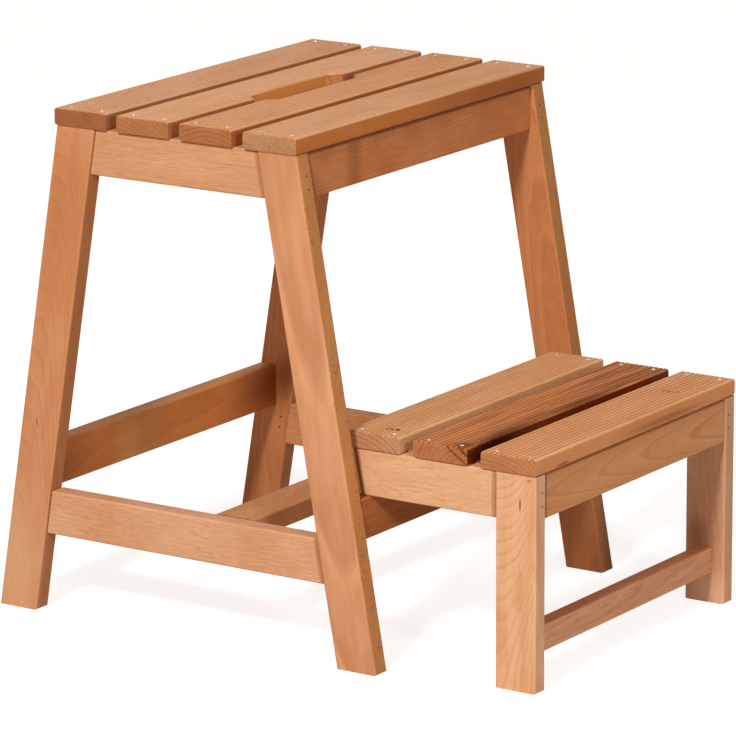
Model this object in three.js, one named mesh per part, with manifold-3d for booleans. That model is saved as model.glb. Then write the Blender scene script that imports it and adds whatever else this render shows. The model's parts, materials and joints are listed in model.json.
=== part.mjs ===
// A folding step stool chair in oiled beech: a slatted stool on splayed legs, and a lower step
// that swings up and over on two bolts until it lies upside down inside the stool's frame.
// Millimetres, +Z up, +X towards the step. The origin is on the floor, under the middle of
// the whole object with its step down. Left is -Y, the left hand of someone climbing up.

import * as THREE from "three";
import { mergeVertices } from "three/addons/utils/BufferGeometryUtils.js";
import Module from "manifold-3d";

const wasm = await Module();
wasm.setup();

// Stool as a whole
const seatHeight = 460;
const seatLength = 397;
const seatDepth = 254;
const seatSlatCount = 4;
const frontFootReach = 204.5;
const rearFootReach = 200;

// Step as a whole
const stepHeight = 205;
const stepSideGap = 11.5;
const stepDepth = 191;
const stepSlatCount = 3;

// Slats, the same section for the seat and the step
const slatWidth = 55;
const slatThickness = 15;
const slatEdgeRadius = 2.5;
const slatEndEase = 2;
const groovePitch = 5;
const grooveMouth = 2.6;
const grooveFloor = 1.2;
const grooveDepth = 1;
const grooveMargin = 2.4;

// Hand hole cut from the two middle seat slats
const handHoleLength = 140;
const handHoleWidth = 31;

// Timber of the stool's frame
const legWidth = 40;
const legThickness = 18;
const legEndRecess = 2;
const legTopRecess = 1;
const apronHeight = 41.5;
const railHeight = 40;
const frontRailHeight = 37;
const railThickness = 18;
const faceRecess = 2;
const restRailFront = 64;

// Timber of the step's frame
const stepLegWidth = 40;
const stepLegThickness = 16;
const stepRailHeight = 41.5;
const stepApronHeight = 40;
const stepRailThickness = 16;
const stepApronRecess = 1;
const stepStretcherHeight = 24;
const stepStretcherBottom = 27.5;

// Edges and joints of all the frame timber
const edgeRadius = 2;
const footEase = 2.5;
const tenonThickness = 8;
const tenonShoulder = 5;
const sideTenonLength = 16;
const crossTenonLength = 11;

// Countersunk wood screws that hold the slats down
const screwLength = 30;
const screwTip = 6;
const screwRadius = 1.6;
const screwHeadRadius = 2.8;
const screwHeadDepth = 1.9;
const screwRim = 0.5;
const screwSink = 0.2;
const screwFromEdge = 11;
const seatScrewFromEnd = 11;
const stepScrewFromEnd = 9;

// Pivot of the step: a bolt through each step rail and a spacer, into an insert nut in the leg
const knuckleRadius = 10.5;
const stepTail = 1.9;
const boltRadius = 3;
const boltHeadRadius = 6.5;
const boltHeadThickness = 3;
const boltHeadEase = 1;
const boltSocketRadius = 2.3;
const boltSocketDepth = 1.8;
const boltReach = 10;
const spacerRadius = 6.5;
const insertRadius = 5;
const insertLength = 11;

// Clearances and overrun
const fit = 0.3;
const restGap = 0.5;
const swingGap = 1.4;
const overrun = 5;

// Facets of small arcs and of round pieces
const arcSteps = 3;
const handHoleSteps = 12;
const screwSides = 12;
const pivotSides = 24;

// Heights and faces that follow from these
const seatUnderside = seatHeight - slatThickness;
const frameTop = seatUnderside - fit;
const apronBottom = seatUnderside - apronHeight;
const legOuterFace = seatLength / 2 - legEndRecess;
const legInnerFace = legOuterFace - legThickness;
const railOuterFace = legOuterFace - faceRecess;
const railInnerFace = railOuterFace - railThickness;

// The legs' splay, for the front (1) and the rear (-1) end: how far out from the seat's middle
// their outer and inner edges stand at a height
const legTopReach = seatDepth / 2 - legTopRecess;
const footReach = (end) => (end > 0 ? frontFootReach : rearFootReach);
const lean = (end) => (footReach(end) - legTopReach) / seatUnderside;
const legAcross = (end) => legWidth * Math.hypot(1, lean(end));
const legOuterAt = (end, height) => footReach(end) - lean(end) * height;
const legInnerAt = (end, height) => legOuterAt(end, height) - legAcross(end);

// The step's frame
const stepUnderside = stepHeight - slatThickness;
const stepFrameTop = stepUnderside - fit;
const stepRailBottom = stepUnderside - stepRailHeight;
const stepLegOuterFace = legInnerFace - stepSideGap;
const stepLength = 2 * stepLegOuterFace;
const stepLegInnerFace = stepLegOuterFace - stepLegThickness;
const stepRailOuterFace = stepLegOuterFace - faceRecess;
const stepRailInnerFace = stepRailOuterFace - stepRailThickness;

// Cross rails, each flush at its top with the legs' outer edges; the step rests on the front one
const crossRailTop = stepRailBottom - fit;
const crossRailOuter = (end) => legOuterAt(end, crossRailTop);
const crossRailInner = (end) => crossRailOuter(end) - railThickness;
const crossRailBottom = (end) => crossRailTop - (end > 0 ? frontRailHeight : railHeight);

// Hinge axis: the slat that turns over behind it clears the front cross rail
const hingeX = crossRailInner(1) - swingGap - stepTail;
const hingeHeight = stepRailBottom + knuckleRadius;
const stepBack = hingeX - stepTail;
const stepFront = stepBack + stepDepth;
const stepLegBack = stepFront - stepLegWidth;

// The folded step's slats come down on the rest rail, level with the side stretchers
const stretcherTop = 2 * hingeHeight - stepHeight - restGap;
const stretcherBottom = stretcherTop - railHeight;

const beech = new THREE.MeshStandardMaterial({ color: 0xd79b6b, roughness: 0.55 });
const heartwood = new THREE.MeshStandardMaterial({ color: 0xb06a45, roughness: 0.55 });
const brightSteel = new THREE.MeshStandardMaterial({ color: 0xc9cbce, roughness: 0.3, metalness: 1 });
const darkSteel = new THREE.MeshStandardMaterial({ color: 0x77797d, roughness: 0.4, metalness: 1 });
const nylon = new THREE.MeshStandardMaterial({ color: 0xe6e0d2, roughness: 0.6 });

// Turns an outline's own axes, and the way it is drawn out, into the object's axes
const unitX = new THREE.Vector3(1, 0, 0);
const unitY = new THREE.Vector3(0, 1, 0);
const unitZ = new THREE.Vector3(0, 0, 1);
const outlineFrames = {
  x: new THREE.Matrix4().makeBasis(unitY, unitZ, unitX),
  y: new THREE.Matrix4().makeBasis(unitX, unitZ, unitY.clone().negate()),
  z: new THREE.Matrix4(),
};

// A closed geometry as a solid that can be joined and cut
function solidOf(geometry) {
  const bare = geometry.clone();
  bare.deleteAttribute("normal");
  bare.deleteAttribute("uv");
  const welded = mergeVertices(bare);
  const corners = Array.from(welded.index.array);
  const faces = [];
  for (let i = 0; i < corners.length; i += 3) {
    const [a, b, c] = corners.slice(i, i + 3);
    if (a !== b && b !== c && c !== a) faces.push(a, b, c);
  }
  const mesh = new wasm.Mesh({
    numProp: 3,
    vertProperties: new Float32Array(welded.attributes.position.array),
    triVerts: new Uint32Array(faces),
  });
  return new wasm.Manifold(mesh);
}

function geometryOf(solid) {
  const mesh = solid.getMesh();
  const geometry = new THREE.BufferGeometry();
  geometry.setAttribute("position", new THREE.BufferAttribute(mesh.vertProperties, mesh.numProp));
  geometry.setIndex(new THREE.BufferAttribute(mesh.triVerts, 1));
  const faceted = geometry.toNonIndexed();
  faceted.computeVertexNormals();
  return faceted;
}

function joined(solids) {
  return solids.reduce((sum, solid) => sum.add(solid));
}

function cutBy(solid, tools) {
  return tools.reduce((rest, tool) => rest.subtract(tool), solid);
}

// Corners of a rectangle, anticlockwise, whichever way its limits are given
function rectangle([a0, a1], [b0, b1]) {
  const [lowA, highA] = [Math.min(a0, a1), Math.max(a0, a1)];
  const [lowB, highB] = [Math.min(b0, b1), Math.max(b0, b1)];
  return [
    new THREE.Vector2(lowA, lowB),
    new THREE.Vector2(highA, lowB),
    new THREE.Vector2(highA, highB),
    new THREE.Vector2(lowA, highB),
  ];
}

// The arc that rounds one corner of an outline, tangent to both its sides
function cornerArc(before, corner, after, radius) {
  if (radius === 0) return [corner];
  const toBefore = before.clone().sub(corner).normalize();
  const toAfter = after.clone().sub(corner).normalize();
  const half = Math.acos(toBefore.dot(toAfter)) / 2;
  const inward = toBefore.clone().add(toAfter).normalize();
  const centre = corner.clone().addScaledVector(inward, radius / Math.sin(half));
  const start = corner.clone().addScaledVector(toBefore, radius / Math.tan(half));
  const turn = Math.sign(toAfter.cross(toBefore)) * (Math.PI - 2 * half);
  const points = [];
  for (let i = 0; i <= arcSteps; i++) {
    points.push(start.clone().rotateAround(centre, (turn * i) / arcSteps));
  }
  return points;
}

// An outline with rounded corners, by one radius or by one for each corner
function rounded(corners, radius) {
  return corners.flatMap((corner, i) => {
    const before = corners.at(i - 1);
    const after = corners[(i + 1) % corners.length];
    return cornerArc(before, corner, after, Array.isArray(radius) ? radius[i] : radius);
  });
}

// An outline drawn out along one axis, between two limits given in either order
function prism(outline, axis, [from, to]) {
  const low = Math.min(from, to);
  const high = Math.max(from, to);
  const shape = new THREE.Shape(outline);
  const geometry = new THREE.ExtrudeGeometry(shape, { depth: high - low, bevelEnabled: false });
  geometry.translate(0, 0, axis === "y" ? -high : low);
  geometry.applyMatrix4(outlineFrames[axis]);
  return geometry;
}

// A turned piece about the Y axis; its profile is given as [radius, distance] pairs
function turned(profile, sides) {
  const points = profile.map(([radius, distance]) => new THREE.Vector2(radius, distance));
  return new THREE.LatheGeometry(points, sides);
}

// Outline across two splayed legs, between two heights, grown past their inner edges
function spanOutline(low, high, grow) {
  const corner = (end, height) => new THREE.Vector2(end * (legInnerAt(end, height) + grow), height);
  return [corner(-1, low), corner(1, low), corner(1, high), corner(-1, high)];
}

// Section of a rail's tenon: centred in the rail's thickness, with a shoulder above and below
function tenonSection(first, second, grow) {
  const firstSize = Math.abs(first[1] - first[0]);
  const secondSize = Math.abs(second[1] - second[0]);
  const middle = (range) => (range[0] + range[1]) / 2;
  const thin = tenonThickness / 2 + grow;
  const wide = (size) => size / 2 - tenonShoulder + grow;
  const firstHalf = firstSize < secondSize ? thin : wide(firstSize);
  const secondHalf = firstSize < secondSize ? wide(secondSize) : thin;
  return rectangle(
    [middle(first) - firstHalf, middle(first) + firstHalf],
    [middle(second) - secondHalf, middle(second) + secondHalf],
  );
}

// A rail along Y that stops at its shoulders, with the mortises that its tenons need
function crossRail(xRange, zRange, faceY) {
  const body = prism(rounded(rectangle(xRange, zRange), edgeRadius), "y", [fit - faceY, faceY - fit]);
  const tenonEnd = faceY + crossTenonLength;
  const tenon = prism(tenonSection(xRange, zRange, 0), "y", [-tenonEnd, tenonEnd]);
  const hole = prism(tenonSection(xRange, zRange, fit), "y", [-tenonEnd - fit, tenonEnd + fit]);
  return { solid: joined([solidOf(body), solidOf(tenon)]), mortise: solidOf(hole) };
}

// A rail along X between the splayed legs of one side, with the mortises that its tenons need
function sideRail(side, zRange) {
  const yRange = [side * railInnerFace, side * railOuterFace];
  const whole = [-rearFootReach, frontFootReach];
  const wide = [side * (railInnerFace - overrun), side * (legOuterFace + overrun)];
  const between = (grow) => {
    const outline = spanOutline(zRange[0] - overrun, zRange[1] + overrun, grow);
    return solidOf(prism(outline, "y", wide));
  };
  const body = solidOf(prism(rounded(rectangle(yRange, zRange), edgeRadius), "x", whole));
  const tenon = solidOf(prism(tenonSection(yRange, zRange, 0), "x", whole));
  const hole = solidOf(prism(tenonSection(yRange, zRange, fit), "x", whole));
  return {
    solid: joined([body.intersect(between(-fit)), tenon.intersect(between(sideTenonLength))]),
    mortise: hole.intersect(between(sideTenonLength + fit)),
  };
}

// A splayed leg: an upright of rounded section, leaned inwards, with its foot's corners eased
function splayedLeg(end, side) {
  const inner = (height) => new THREE.Vector2(end * legInnerAt(end, height), height);
  const outer = (height) => new THREE.Vector2(end * legOuterAt(end, height), height);
  const yRange = [side * legInnerFace, side * legOuterFace];
  const section = rectangle([inner(0).x, outer(0).x], yRange);
  const post = prism(rounded(section, edgeRadius), "z", [0, frameTop]);
  post.applyMatrix4(new THREE.Matrix4().makeShear(0, 0, 0, 0, -end * lean(end), 0));
  const shape = [inner(0), outer(0), outer(frameTop), inner(frameTop)];
  const face = prism(rounded(shape, [footEase, footEase, 0, 0]), "y", yRange);
  return solidOf(post).intersect(solidOf(face));
}

// An upright leg of the step, with its foot's corners eased
function stepLeg(side) {
  const xRange = [stepLegBack, stepFront];
  const yRange = [side * stepLegInnerFace, side * stepLegOuterFace];
  const post = prism(rounded(rectangle(xRange, yRange), edgeRadius), "z", [0, stepFrameTop]);
  const shape = rounded(rectangle(xRange, [0, stepFrameTop]), [footEase, footEase, 0, 0]);
  return solidOf(post).intersect(solidOf(prism(shape, "y", yRange)));
}

// A side rail of the step: its back end is a round knuckle about the bolt, so that it turns
// clear of the cross rail below it, and its front end has a tenon into the step's leg
function stepRail(side) {
  const yRange = [side * stepRailInnerFace, side * stepRailOuterFace];
  const zRange = [stepRailBottom, stepFrameTop];
  const knuckleFront = Math.sqrt(knuckleRadius ** 2 - stepTail ** 2);
  const hinge = new THREE.Vector2(hingeX, hingeHeight);
  const startAngle = Math.atan2(knuckleFront, -stepTail);
  const outline = [];
  const knuckleSteps = 4 * arcSteps;
  for (let i = 0; i <= knuckleSteps; i++) {
    const angle = startAngle + ((1.5 * Math.PI - startAngle) * i) / knuckleSteps;
    const point = new THREE.Vector2(knuckleRadius, 0).rotateAround(new THREE.Vector2(), angle);
    outline.push(point.add(hinge));
  }
  const shoulder = stepLegBack - fit;
  outline.push(new THREE.Vector2(shoulder, stepRailBottom));
  outline.push(new THREE.Vector2(shoulder, stepFrameTop));
  outline.push(new THREE.Vector2(stepBack, stepFrameTop));
  const long = [hingeX - knuckleRadius, shoulder];
  const bar = solidOf(prism(rounded(rectangle(yRange, zRange), edgeRadius), "x", long));
  const tenonRange = [stepLegBack - sideTenonLength, stepLegBack + sideTenonLength];
  const tenon = prism(tenonSection(yRange, zRange, 0), "x", tenonRange);
  const holeRange = [stepLegBack - overrun, stepLegBack + sideTenonLength + fit];
  const hole = prism(tenonSection(yRange, zRange, fit), "x", holeRange);
  return {
    solid: joined([bar.intersect(solidOf(prism(outline, "y", yRange))), solidOf(tenon)]),
    mortise: solidOf(hole),
  };
}

// A slat along Y with rounded long edges, a grooved top and eased ends; its top is at height zero
function slat(length) {
  const corners = rectangle([-slatWidth / 2, slatWidth / 2], [-slatThickness, 0]);
  const arcs = corners.map((corner, i) => {
    return cornerArc(corners.at(i - 1), corner, corners[(i + 1) % corners.length], slatEdgeRadius);
  });
  const grooved = slatWidth - 2 * (slatEdgeRadius + grooveMargin);
  const grooveCount = Math.floor(grooved / groovePitch) + 1;
  const grooves = [];
  for (let i = 0; i < grooveCount; i++) {
    const centre = ((grooveCount - 1) / 2 - i) * groovePitch;
    grooves.push(new THREE.Vector2(centre + grooveMouth / 2, 0));
    grooves.push(new THREE.Vector2(centre + grooveFloor / 2, -grooveDepth));
    grooves.push(new THREE.Vector2(centre - grooveFloor / 2, -grooveDepth));
    grooves.push(new THREE.Vector2(centre - grooveMouth / 2, 0));
  }
  const section = [...arcs[0], ...arcs[1], ...arcs[2], ...grooves, ...arcs[3]];
  const long = [-length / 2, length / 2];
  const ends = rounded(rectangle(long, [-slatThickness, 0]), [0, 0, slatEndEase, slatEndEase]);
  const board = solidOf(prism(section, "y", long));
  return board.intersect(solidOf(prism(ends, "x", [-slatWidth / 2, slatWidth / 2])));
}

// Hand hole: a slot with round ends, drawn down through the seat
function handHole() {
  const radius = handHoleWidth / 2;
  const straight = handHoleLength / 2 - radius;
  const outline = [];
  for (const end of [1, -1]) {
    for (let i = 0; i <= handHoleSteps; i++) {
      const angle = (Math.PI * i) / handHoleSteps;
      const along = end * (straight + radius * Math.sin(angle));
      outline.push(new THREE.Vector2(end * radius * Math.cos(angle), along));
    }
  }
  return solidOf(prism(outline, "z", [seatUnderside - overrun, seatHeight + overrun]));
}

// Profile of a countersunk screw from its tip up to its head, whose top is at distance zero
const screwProfile = [
  [0, -screwLength],
  [screwRadius, screwTip - screwLength],
  [screwRadius, -screwHeadDepth],
  [screwHeadRadius, -screwRim],
  [screwHeadRadius, 0],
  [0, 0],
];

// The hole that a screw fills, open above its head
const screwHoleProfile = [
  [0, -screwLength - fit],
  [screwRadius + fit, screwTip - screwLength],
  [screwRadius + fit, -screwHeadDepth - fit],
  [screwHeadRadius + fit, -screwRim - fit],
  [screwHeadRadius + fit, overrun],
  [0, overrun],
];

// Screw places: two at each end of each slat, one near each of its long edges
function screwSpots(slatCentres, endY, top) {
  const spots = [];
  slatCentres.forEach((centre, slatIndex) => {
    for (const side of [-1, 1]) {
      for (const edge of [-1, 1]) {
        const x = centre + edge * (slatWidth / 2 - screwFromEdge);
        spots.push({ slatIndex, side, edge, place: new THREE.Vector3(x, side * endY, top - screwSink) });
      }
    }
  });
  return spots;
}

function screwHole({ place }) {
  const hole = turned(screwHoleProfile, screwSides).rotateX(Math.PI / 2);
  return solidOf(hole.translate(place.x, place.y, place.z));
}

// Centres of evenly spread slats, between a back and a front edge
function slatCentres(back, depth, count) {
  const step = (depth - slatWidth) / (count - 1);
  return Array.from({ length: count }, (_, i) => back + slatWidth / 2 + i * step);
}

// A round piece on the hinge axis of one side, from its distance outwards from the stool's middle
function onHinge(profile, side, startY) {
  const geometry = turned(profile, pivotSides);
  if (side < 0) geometry.rotateZ(Math.PI);
  return geometry.translate(hingeX, side * startY, hingeHeight);
}

function tube(outer, inner, length) {
  return [[inner, 0], [outer, 0], [outer, length], [inner, length], [inner, 0]];
}

const boltStart = stepRailInnerFace - fit - boltHeadThickness;
const boltLength = legInnerFace + boltReach - boltStart;
const boltHole = boltRadius + fit;

function pivotBolt(side) {
  const shape = [
    [0, 0],
    [boltHeadRadius - boltHeadEase, 0],
    [boltHeadRadius, boltHeadEase],
    [boltHeadRadius, boltHeadThickness],
    [boltRadius, boltHeadThickness],
    [boltRadius, boltLength],
    [0, boltLength],
  ];
  const socket = new THREE.CylinderGeometry(boltSocketRadius, boltSocketRadius, 2 * boltSocketDepth, 6);
  socket.translate(hingeX, side * boltStart, hingeHeight);
  return cutBy(solidOf(onHinge(shape, side, boltStart)), [solidOf(socket)]);
}

function pivotSpacer(side) {
  const length = legInnerFace - stepRailOuterFace - 2 * fit;
  return solidOf(onHinge(tube(spacerRadius, boltHole, length), side, stepRailOuterFace + fit));
}

function insertNut(side) {
  return solidOf(onHinge(tube(insertRadius, boltHole, insertLength), side, legInnerFace + fit));
}

// Blind hole in a leg for its insert nut, and the bolt's hole through a step rail
function insertHole(side) {
  const depth = insertLength + 2 * fit;
  const radius = insertRadius + fit;
  const shape = [[0, -overrun], [radius, -overrun], [radius, depth], [0, depth]];
  return solidOf(onHinge(shape, side, legInnerFace));
}

function railBoltHole(side) {
  const end = stepRailThickness + overrun;
  const shape = [[0, -overrun], [boltHole, -overrun], [boltHole, end], [0, end]];
  return solidOf(onHinge(shape, side, stepRailInnerFace));
}

function addPiece(group, name, geometry, material, place = new THREE.Vector3()) {
  const mesh = new THREE.Mesh(geometry, material);
  mesh.name = name;
  mesh.position.copy(place);
  group.add(mesh);
}

const sides = { left: -1, right: 1 };
const ends = { front: 1, rear: -1 };
const stool = new THREE.Group();
const step = new THREE.Group();

// Seat slats and their screws
const seatCentres = slatCentres(-seatDepth / 2, seatDepth, seatSlatCount);
const seatScrews = screwSpots(seatCentres, seatLength / 2 - seatScrewFromEnd, seatHeight);
const seatScrewHoles = seatScrews.map(screwHole);
const seatSlat = slat(seatLength);
const seatCuts = [handHole(), ...seatScrewHoles];
seatCentres.forEach((centre, i) => {
  const cut = seatCuts.map((tool) => tool.translate([-centre, 0, -seatHeight]));
  const place = new THREE.Vector3(centre, 0, seatHeight);
  addPiece(stool, `seat_slat_${i + 1}`, geometryOf(cutBy(seatSlat, cut)), beech, place);
});

// Stool frame: rails first, then the legs that their tenons go into
const apronRange = [apronBottom, frameTop];
const sideAprons = {};
const sideStretchers = {};
for (const [sideName, side] of Object.entries(sides)) {
  sideAprons[sideName] = sideRail(side, apronRange);
  sideStretchers[sideName] = sideRail(side, [stretcherBottom, stretcherTop]);
}
const endAprons = {};
const crossRails = {};
for (const [endName, end] of Object.entries(ends)) {
  const apronOuter = legTopReach - faceRecess;
  const apronX = [end * (apronOuter - railThickness), end * apronOuter];
  endAprons[endName] = crossRail(apronX, apronRange, legInnerFace);
  const railX = [end * crossRailInner(end), end * crossRailOuter(end)];
  crossRails[endName] = crossRail(railX, [crossRailBottom(end), crossRailTop], legInnerFace);
}
const restRailX = [restRailFront - railHeight, restRailFront];
const restRail = crossRail(restRailX, [stretcherTop - railThickness, stretcherTop], railInnerFace);

for (const [sideName, side] of Object.entries(sides)) {
  for (const [endName, end] of Object.entries(ends)) {
    const mortises = [
      sideAprons[sideName].mortise,
      sideStretchers[sideName].mortise,
      endAprons[endName].mortise,
      crossRails[endName].mortise,
    ];
    if (end > 0) mortises.push(insertHole(side));
    const leg = cutBy(splayedLeg(end, side), [...mortises, ...seatScrewHoles]);
    addPiece(stool, `${endName}_leg_${sideName}`, geometryOf(leg), beech);
  }
  const apron = cutBy(sideAprons[sideName].solid, seatScrewHoles);
  addPiece(stool, `side_apron_${sideName}`, geometryOf(apron), beech);
  const stretcher = cutBy(sideStretchers[sideName].solid, [restRail.mortise]);
  addPiece(stool, `side_stretcher_${sideName}`, geometryOf(stretcher), beech);
}
for (const endName of Object.keys(ends)) {
  const apron = cutBy(endAprons[endName].solid, seatScrewHoles);
  addPiece(stool, `${endName}_apron`, geometryOf(apron), beech);
  addPiece(stool, `${endName}_cross_rail`, geometryOf(crossRails[endName].solid), beech);
}
addPiece(stool, "rest_rail", geometryOf(restRail.solid), beech);

// Pivot hardware, held by the stool's front legs
for (const [sideName, side] of Object.entries(sides)) {
  addPiece(stool, `pivot_bolt_${sideName}`, geometryOf(pivotBolt(side)), darkSteel);
  addPiece(stool, `pivot_spacer_${sideName}`, geometryOf(pivotSpacer(side)), nylon);
  addPiece(stool, `insert_nut_${sideName}`, geometryOf(insertNut(side)), brightSteel);
}

// Step slats and their screws; the middle slat is a darker heartwood board
const stepCentres = slatCentres(stepBack, stepDepth, stepSlatCount);
const stepScrews = screwSpots(stepCentres, stepLegOuterFace - stepScrewFromEnd, stepHeight);
const stepScrewHoles = stepScrews.map(screwHole);
const stepSlat = slat(stepLength);
const heartSlat = 1;
stepCentres.forEach((centre, i) => {
  const cut = stepScrewHoles.map((tool) => tool.translate([-centre, 0, -stepHeight]));
  const place = new THREE.Vector3(centre, 0, stepHeight);
  const wood = i === heartSlat ? heartwood : beech;
  addPiece(step, `step_slat_${i + 1}`, geometryOf(cutBy(stepSlat, cut)), wood, place);
});

// Step frame: apron and stretcher between the legs, and the side rails that turn on the bolts
const stepApronFront = stepFront - stepApronRecess;
const stepApronX = [stepApronFront - stepRailThickness, stepApronFront];
const stepApronZ = [stepUnderside - stepApronHeight, stepFrameTop];
const stepApron = crossRail(stepApronX, stepApronZ, stepLegInnerFace);
const stepLegMiddle = stepFront - stepLegWidth / 2;
const stepStretcherX = [stepLegMiddle - stepRailThickness / 2, stepLegMiddle + stepRailThickness / 2];
const stepStretcherZ = [stepStretcherBottom, stepStretcherBottom + stepStretcherHeight];
const stepStretcher = crossRail(stepStretcherX, stepStretcherZ, stepLegInnerFace);
for (const [sideName, side] of Object.entries(sides)) {
  const rail = stepRail(side);
  const mortises = [rail.mortise, stepApron.mortise, stepStretcher.mortise];
  const leg = cutBy(stepLeg(side), [...mortises, ...stepScrewHoles]);
  addPiece(step, `step_leg_${sideName}`, geometryOf(leg), beech);
  const cutRail = cutBy(rail.solid, [railBoltHole(side), ...stepScrewHoles]);
  addPiece(step, `step_rail_${sideName}`, geometryOf(cutRail), beech);
}
addPiece(step, "step_apron", geometryOf(cutBy(stepApron.solid, stepScrewHoles)), beech);
addPiece(step, "step_stretcher", geometryOf(stepStretcher.solid), beech);

// Screws, all turned from one profile
const screwShape = geometryOf(solidOf(turned(screwProfile, screwSides).rotateX(Math.PI / 2)));
const sideOf = (side) => (side < 0 ? "left" : "right");
const edgeOf = (edge) => (edge < 0 ? "back" : "front");
const screwSets = [
  ["seat", stool, seatScrews],
  ["step", step, stepScrews],
];
for (const [setName, group, spots] of screwSets) {
  for (const { slatIndex, side, edge, place } of spots) {
    const name = `${setName}_screw_${slatIndex + 1}_${sideOf(side)}_${edgeOf(edge)}`;
    addPiece(group, name, screwShape, brightSteel, place);
  }
}

// The whole object, moved so that its middle stands over the origin
const part = new THREE.Group();
part.add(stool, step);
const bounds = new THREE.Box3().setFromObject(part);
part.position.x = -(bounds.min.x + bounds.max.x) / 2;

export default part;
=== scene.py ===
import json
import math
from functools import partial

import bmesh
import bpy
from mathutils import Euler, Matrix, Vector


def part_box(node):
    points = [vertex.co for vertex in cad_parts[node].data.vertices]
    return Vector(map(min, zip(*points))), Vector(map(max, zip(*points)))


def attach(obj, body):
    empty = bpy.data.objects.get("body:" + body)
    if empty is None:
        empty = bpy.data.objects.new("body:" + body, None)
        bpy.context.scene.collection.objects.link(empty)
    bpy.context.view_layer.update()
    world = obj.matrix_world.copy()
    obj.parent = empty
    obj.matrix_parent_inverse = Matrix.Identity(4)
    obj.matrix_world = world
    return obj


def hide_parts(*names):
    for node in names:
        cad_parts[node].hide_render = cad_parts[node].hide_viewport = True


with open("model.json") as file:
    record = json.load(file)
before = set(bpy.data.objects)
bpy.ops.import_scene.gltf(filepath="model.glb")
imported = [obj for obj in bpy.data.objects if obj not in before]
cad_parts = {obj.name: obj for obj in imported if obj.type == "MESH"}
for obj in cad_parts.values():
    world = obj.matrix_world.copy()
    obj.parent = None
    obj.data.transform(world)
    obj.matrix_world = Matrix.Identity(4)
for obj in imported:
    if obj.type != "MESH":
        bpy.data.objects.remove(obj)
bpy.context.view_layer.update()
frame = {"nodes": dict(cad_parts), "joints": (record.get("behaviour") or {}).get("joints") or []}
scene = bpy.context.scene
mm = 0.001
sides = {"left": -1, "right": 1}  # left is the near side in the photograph
ends = {"front": 1, "rear": -1}
axisVectors = {"x": Vector((1, 0, 0)), "y": Vector((0, 1, 0)), "z": Vector((0, 0, 1))}
print("frame loaded:", len(frame["nodes"]), "nodes")


def nodeBox(node):
    low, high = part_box(node)
    return [(low[axis] / mm, high[axis] / mm) for axis in range(3)]


# node helpers: the ones below makeNode give back the socket that the next node takes

def feed(tree, sockets, values):
    for key, value in values.items():
        if isinstance(value, bpy.types.NodeSocket):
            tree.links.new(value, sockets[key])
        else:
            sockets[key].default_value = value


def makeNode(tree, kind, inputs=None, **settings):
    # gives back the new node's outputs
    node = tree.nodes.new(kind)
    for name, value in settings.items():
        setattr(node, name, value)
    feed(tree, node.inputs, inputs or {})
    return node.outputs


def calc(tree, operation, *values, clamp=False):
    kind = "ShaderNodeMath"
    return makeNode(tree, kind, dict(enumerate(values)), operation=operation, use_clamp=clamp)[0]


def product(tree, *values):
    total = values[0]
    for value in values[1:]:
        total = calc(tree, "MULTIPLY", total, value)
    return total


def vectorCalc(tree, operation, *values):
    made = makeNode(tree, "ShaderNodeVectorMath", dict(enumerate(values)), operation=operation)
    return made["Value" if operation in ("LENGTH", "DOT_PRODUCT") else "Vector"]


def scaled(tree, vector, factor):
    inputs = {0: vector, "Scale": factor}
    return makeNode(tree, "ShaderNodeVectorMath", inputs, operation="SCALE")["Vector"]


def splitVector(tree, vector):  # its x, y and z
    return makeNode(tree, "ShaderNodeSeparateXYZ", {0: vector})


def joinVector(tree, x=0.0, y=0.0, z=0.0):
    return makeNode(tree, "ShaderNodeCombineXYZ", {0: x, 1: y, 2: z})[0]


def smoothRange(tree, value, start, end, low=0.0, high=1.0):
    inputs = {0: value, 1: start, 2: end, 3: low, 4: high}
    return makeNode(tree, "ShaderNodeMapRange", inputs, interpolation_type="SMOOTHSTEP")[0]


def noiseAt(tree, point, detail=2.0, roughness=0.5, output=0):
    inputs = {"Vector": point, "Scale": 1.0, "Detail": detail, "Roughness": roughness}
    return makeNode(tree, "ShaderNodeTexNoise", inputs)[output]


def blendColours(tree, factor, first, second, mode="MIX"):
    inputs = {0: factor, 6: first, 7: second}
    return makeNode(tree, "ShaderNodeMix", inputs, data_type="RGBA", blend_type=mode)[2]


def tinted(tree, colour, tint):
    return blendColours(tree, 1.0, colour, tint, "MULTIPLY")


def socketKind(value):
    if isinstance(value, tuple):
        return "Color" if len(value) == 4 else "Vector"
    return "Int" if isinstance(value, int) else "Float"


def newGroup(name, kind, inputs, outputs):
    # an input is given by its default value, or by its kind where it has none
    tree = bpy.data.node_groups.new(name, kind)
    for label, value in inputs.items():
        socket = "NodeSocket" + (value if isinstance(value, str) else socketKind(value))
        item = tree.interface.new_socket(label, in_out="INPUT", socket_type=socket)
        if not isinstance(value, str):
            item.default_value = value
    for label, socket in outputs.items():
        tree.interface.new_socket(label, in_out="OUTPUT", socket_type="NodeSocket" + socket)
    given = tree.nodes.new("NodeGroupInput").outputs
    result = tree.nodes.new("NodeGroupOutput").inputs
    return tree, given, result


def newMaterial(name):
    material = bpy.data.materials.new(name)
    material.use_nodes = True
    tree = material.node_tree
    return material, tree, tree.nodes["Principled BSDF"]


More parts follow.
